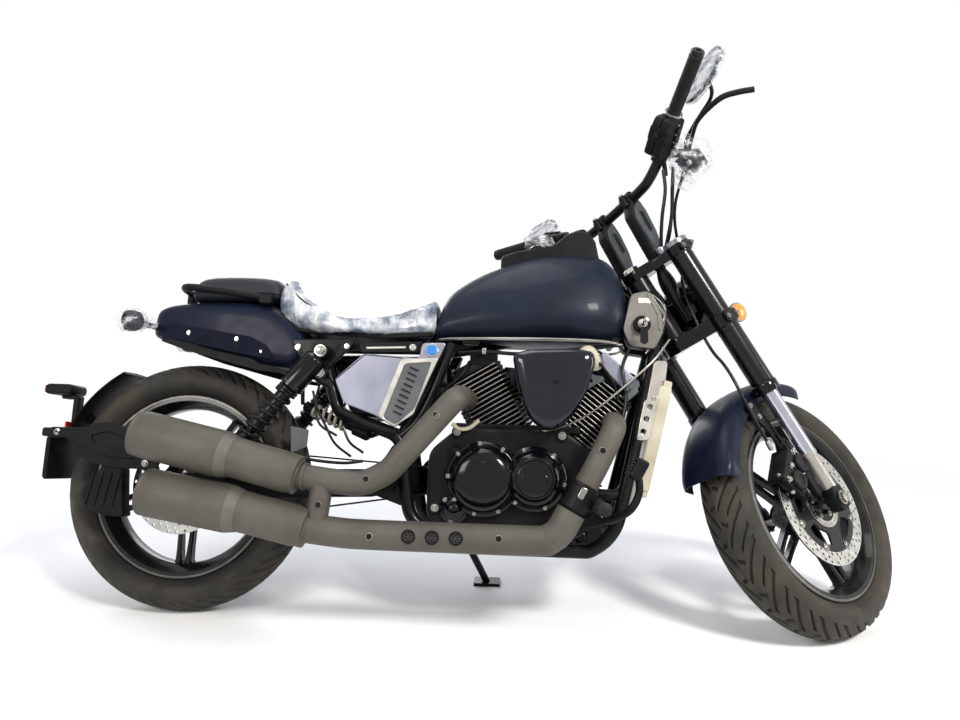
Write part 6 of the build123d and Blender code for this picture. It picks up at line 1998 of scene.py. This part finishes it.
def build_fender():
    """A crowned fender over the tyre, with stays down to the fork feet."""
    outer = [(r, -y) for r, y in FENDER_CROWN] + [(r, y) for r, y in reversed(FENDER_CROWN[:-1])]
    inner = [(r - 3.6 if abs(y) < 70 else r, y * 0.955) for r, y in reversed(outer)]
    rings = []
    for step in range(FENDER_STEPS + 1):
        share = step / FENDER_STEPS
        angle = radians(84 + 90 * share) - RAKE
        close = min(share, 1 - share) * FENDER_STEPS / 3
        shrink = 1 - 0.10 * max(0, 1 - close) ** 2
        section = [(FENDER_R - (FENDER_R - r) * shrink, y * shrink) for r, y in outer + inner]
        rings.append([(AXLE_D + r * cos(angle), y, AXLE_S + r * sin(angle)) for r, y in section])
    front("front_fender_shell", skin(rings), "tail_navy", ["front_fender"], 50)
    stay = [(-29, 7), (-3, 7), (-9, 157), (-33, 277), (-55, 317), (-79, 297), (-57, 237), (-37, 147)]
    slots = []
    for k in range(3):
        low, high = 60 + 56 * k, 96 + 56 * k
        slot = [(-30 - 3 * k, low), (-12 - 3 * k, low), (-15 - 5 * k, high), (-30 - 5 * k, high)]
        slots.append(rounded(slot, 4))
    line, *holes = [[(AXLE_D + d, AXLE_S + s) for d, s in outline] for outline in (stay, *slots)]
    arms = plate(line, 80.5, STAY_OUTER_Y, 1.4, 6, holes)
    front("fender_stay_arms", both(arms), "fork_black", ["fender_stays"])
    spots = [(AXLE_D + d, STAY_OUTER_Y, AXLE_S + s) for d, s in ((-60, 296), (-50, 262))]
    screws = bolts(spots, LEFT, 5.5, 4)
    front("fender_screws", both(screws), "plain_steel")


CALIPER_TURN = 150           # degrees round the axle from straight ahead


def build_front_caliper():
    """Two-piston caliper behind the right leg, with its pins, bleeder and bolts."""
    turn = Matrix.Translation((AXLE_D, 0, AXLE_S)) @ Matrix.Rotation(RAKE - radians(CALIPER_TURN), 4, "Y")
    outer = box((84, -101, -56), (160, -75, 56), 7, 14)
    inner = box((88, -58, -50), (158, -46, 50), 4, 12)
    bridge = box((151, -100, -50), (162, -48, 50), 4, 6)
    pot = [(23, 0), (24, 2), (24, 8), (21, 11), (12, 11.5), (11, 9), (1, 9)]
    pots = join(lathe(pot, (118, -100, z), RIGHT, 36) for z in (-27, 27))
    fins = join(box((90, -103.5, z), (154, -99, z + 3), 1) for z in (-50, -4, 1, 46))
    front("front_caliper_body", (outer + inner + bridge + pots + fins).put(turn), "engine_black",
          ["front_caliper"])
    screws = bolts([(146, -101, z) for z in (-44, 0, 44)], RIGHT, 6, 6)
    bleeder = rod((160, -88, 36), (170, -88, 44), 4) + rod((120, -92, 54), (120, -92, 62), 5)
    pins = rod((104, -104, -8), (104, -40, -8), 4) + rod((104, -104, 8), (104, -40, 8), 4)
    front("front_caliper_bolts", (screws + bleeder + pins).put(turn), "bright_bolt")
    sensor = pipe([(20, -96, 560), (22, -98, 500), (40, -98, 440), (52, -96, 380), (46, -88, 340)], 2.6, 8)
    front("wheel_speed_lead", sensor, "cable_black")
    cup = rod((44, -92, 332), (56, -78, 340), 8)
    front("wheel_speed_sensor", cup, "black_plastic")


def build_front_signals():
    """Round amber signals with bright rims in black housings on the lower yoke's ends."""
    way = Vector((-0.25, 0.95, -0.1)).normalized()
    face = Vector((120, 128, 835))
    shell = lathe([(8, -25), (16, -23), (23, -14), (25.6, -4), (26, 0), (24.6, 1.5)], face, way, 44)
    foot = rod((92, 112, 837), (122, 112, 837), 11)
    front("front_signal_shells", both(shell + foot), "engine_gloss", ["front_signals"])
    rim = ring(face + way * 1.5, way, 25.4, 22, 2.2, 44)
    front("front_signal_rims", both(rim), "rim_edge")
    lens = lathe([(22.5, 0), (22.3, 4), (19, 8.5), (12, 11.5), (5, 12.6), (1, 12.8)], face, way, 44)
    front("front_signal_lenses", both(lens), "lamp_lens")


# ---- head of the frame ---------------------------------------------------------------------------
HEAD_X, HEAD_Z = 1204.4, 802
HEAD_COVER = [(-80, 32), (-36, 42), (-2, -20), (2, -62), (-20, -110), (-82, -102), (-100, -62)]


def build_head_covers():
    """Covers beside the head: a bare label place, and the ignition lock with its key and tag."""
    line = [(HEAD_X + d, HEAD_Z + s) for d, s in HEAD_COVER]
    shell = plate(line, 66, 75, 3, 12)
    skirt = plate(line, 31, 68, 1, 10)
    lip = ((-34, 36), (-4, -20), (-2, -60), (-12, -60), (-14, -22), (-42, 34))
    front_lip = plate([(HEAD_X + d, HEAD_Z + s) for d, s in lip], 74, 77, 1, 4)
    piece("head_cover_shells", both(shell + front_lip), "head_cast", covers=["head_side_covers"])
    piece("head_cover_skirts", both(skirt), "black_plastic")
    lock_x, lock_z = HEAD_X - 54, HEAD_Z - 48
    collar = lathe([(22, 0), (22, 12), (20, 16), (14, 17), (13, 14), (1, 14)], (lock_x, -74, lock_z), RIGHT, 40)
    piece("ignition_lock_ring", collar, "engine_gloss")
    barrel = lathe([(12, 0), (12, 4), (1, 4.5)], (lock_x, -87.5, lock_z), RIGHT, 32)
    key = plate([(-2, 4), (2, 4), (2, 12), (9, 16), (9, 26), (0, 30), (-9, 26), (-9, 16), (-2, 12)],
                -1.4, 1.4, 0.5, 2)
    key = key.turned(90, "Z").turned(90, "X").moved(lock_x, -90, lock_z)
    piece("ignition_key", barrel + key, "plain_steel")
    loop = ring((lock_x, -118, lock_z - 8), (1, 0.3, 0), 10, 8.6, 0.8, 28, 0.3)
    tag = plate([(-9, -14), (9, -14), (10, -52), (0, -58), (-10, -52)], -0.9, 0.9, 0.4, 3)
    piece("ignition_key_tag", loop + tag.moved(lock_x - 1, -119, lock_z), "black_plastic")
    line = [(HEAD_X + d, HEAD_Z + s) for d, s in ((-62, 8), (-30, 8), (-30, 22), (-62, 22))]
    label = plate(line, -76, -74.6, 0.3, 1)
    piece("bare_label", label, "pale_metal")
    for index in range(4):
        wander = 5 * index
        line = [(wander - 30, -52, 46 - wander), (4, -64 - wander * 0.4, 12 - 2 * wander),
                (8 - wander, -66, -40 - wander), (-10 - wander, -62, -92), (-40, -56, -118)]
        wires = pipe([(HEAD_X + d, y, HEAD_Z + s) for d, y, s in line], 2.2, 8)
        piece(f"head_wire_{index}", wires, "bright_wire" if index % 2 else "cable_black")
    horn = lathe([(6, 0), (30, 3), (44, 6), (46, 9), (46, 16), (30, 20), (24, 34), (8, 36)],
                 (HEAD_X - 30, -20, HEAD_Z - 168), (0.9, -0.3, 0.1), 40)
    piece("horn", horn, "engine_gloss")


def build_under_tank():
    """Throttle bodies, ignition coil and hoses in the gap under the tank."""
    coil = box((720, -70, 640), (790, -30, 680), 5, 8)
    rail = rod((800, -40, 620), (900, -40, 612), 12)
    bodies = rod((828, -20, 560), (838, -26, 640), 30) + rod((900, -10, 560), (890, -20, 640), 30)
    piece("throttle_bodies", coil + rail + bodies, "black_plastic")
    lines = (pipe([(690, -92, 668), (760, -98, 672), (840, -96, 668), (930, -98, 676), (1030, -90, 690),
                   (1100, -80, 700)], 5, 10)
             + pipe([(720, -66, 650), (700, -88, 610), (660, -96, 570), (640, -98, 520), (632, -104, 470)],
                    4.5, 10)
             + pipe([(1016, -96, 676), (1050, -104, 640), (1078, -100, 600), (1090, -96, 560)], 4, 10)
             + pipe([(1120, -72, 690), (1100, -98, 640), (1108, -104, 560), (1090, -108, 480),
                     (1060, -118, 420)], 4.5, 10))
    piece("under_tank_hoses", lines, "cable_black")
    clips = join(box((x, -104, 664), (x + 10, -84, 680), 2) for x in (752, 872, 1006))
    piece("under_tank_clips", clips, "plain_steel")
    pads = both(box((700, 70, 690), (742, 100, 706), 3, 6))
    piece("tank_rear_mounts", pads, "frame_black")


# ---- the whole machine ---------------------------------------------------------------------------
add_camera()
add_lights()
add_world()
add_floor()
build_wheels()
build_exhaust()
build_cylinders()
build_head_tops()
build_case()
build_engine_covers()
build_air_cleaner()
build_radiator()
build_radiator_covers()
build_tank()
build_console()
build_seats()
build_seat_film()
build_tail()
build_side_covers()
build_frame_trim()
build_shocks()
build_canister()
build_plate_bracket()
build_hugger()
build_rear_lamps()
build_rear_drive()
build_feet()
build_fork()
build_yokes()
build_risers()
build_handlebar()
build_switches()
build_mirrors()
build_master()
build_control_cables()
build_brake_hose()
build_headlight()
build_fender()
build_front_caliper()
build_front_signals()
build_head_covers()
build_under_tank()
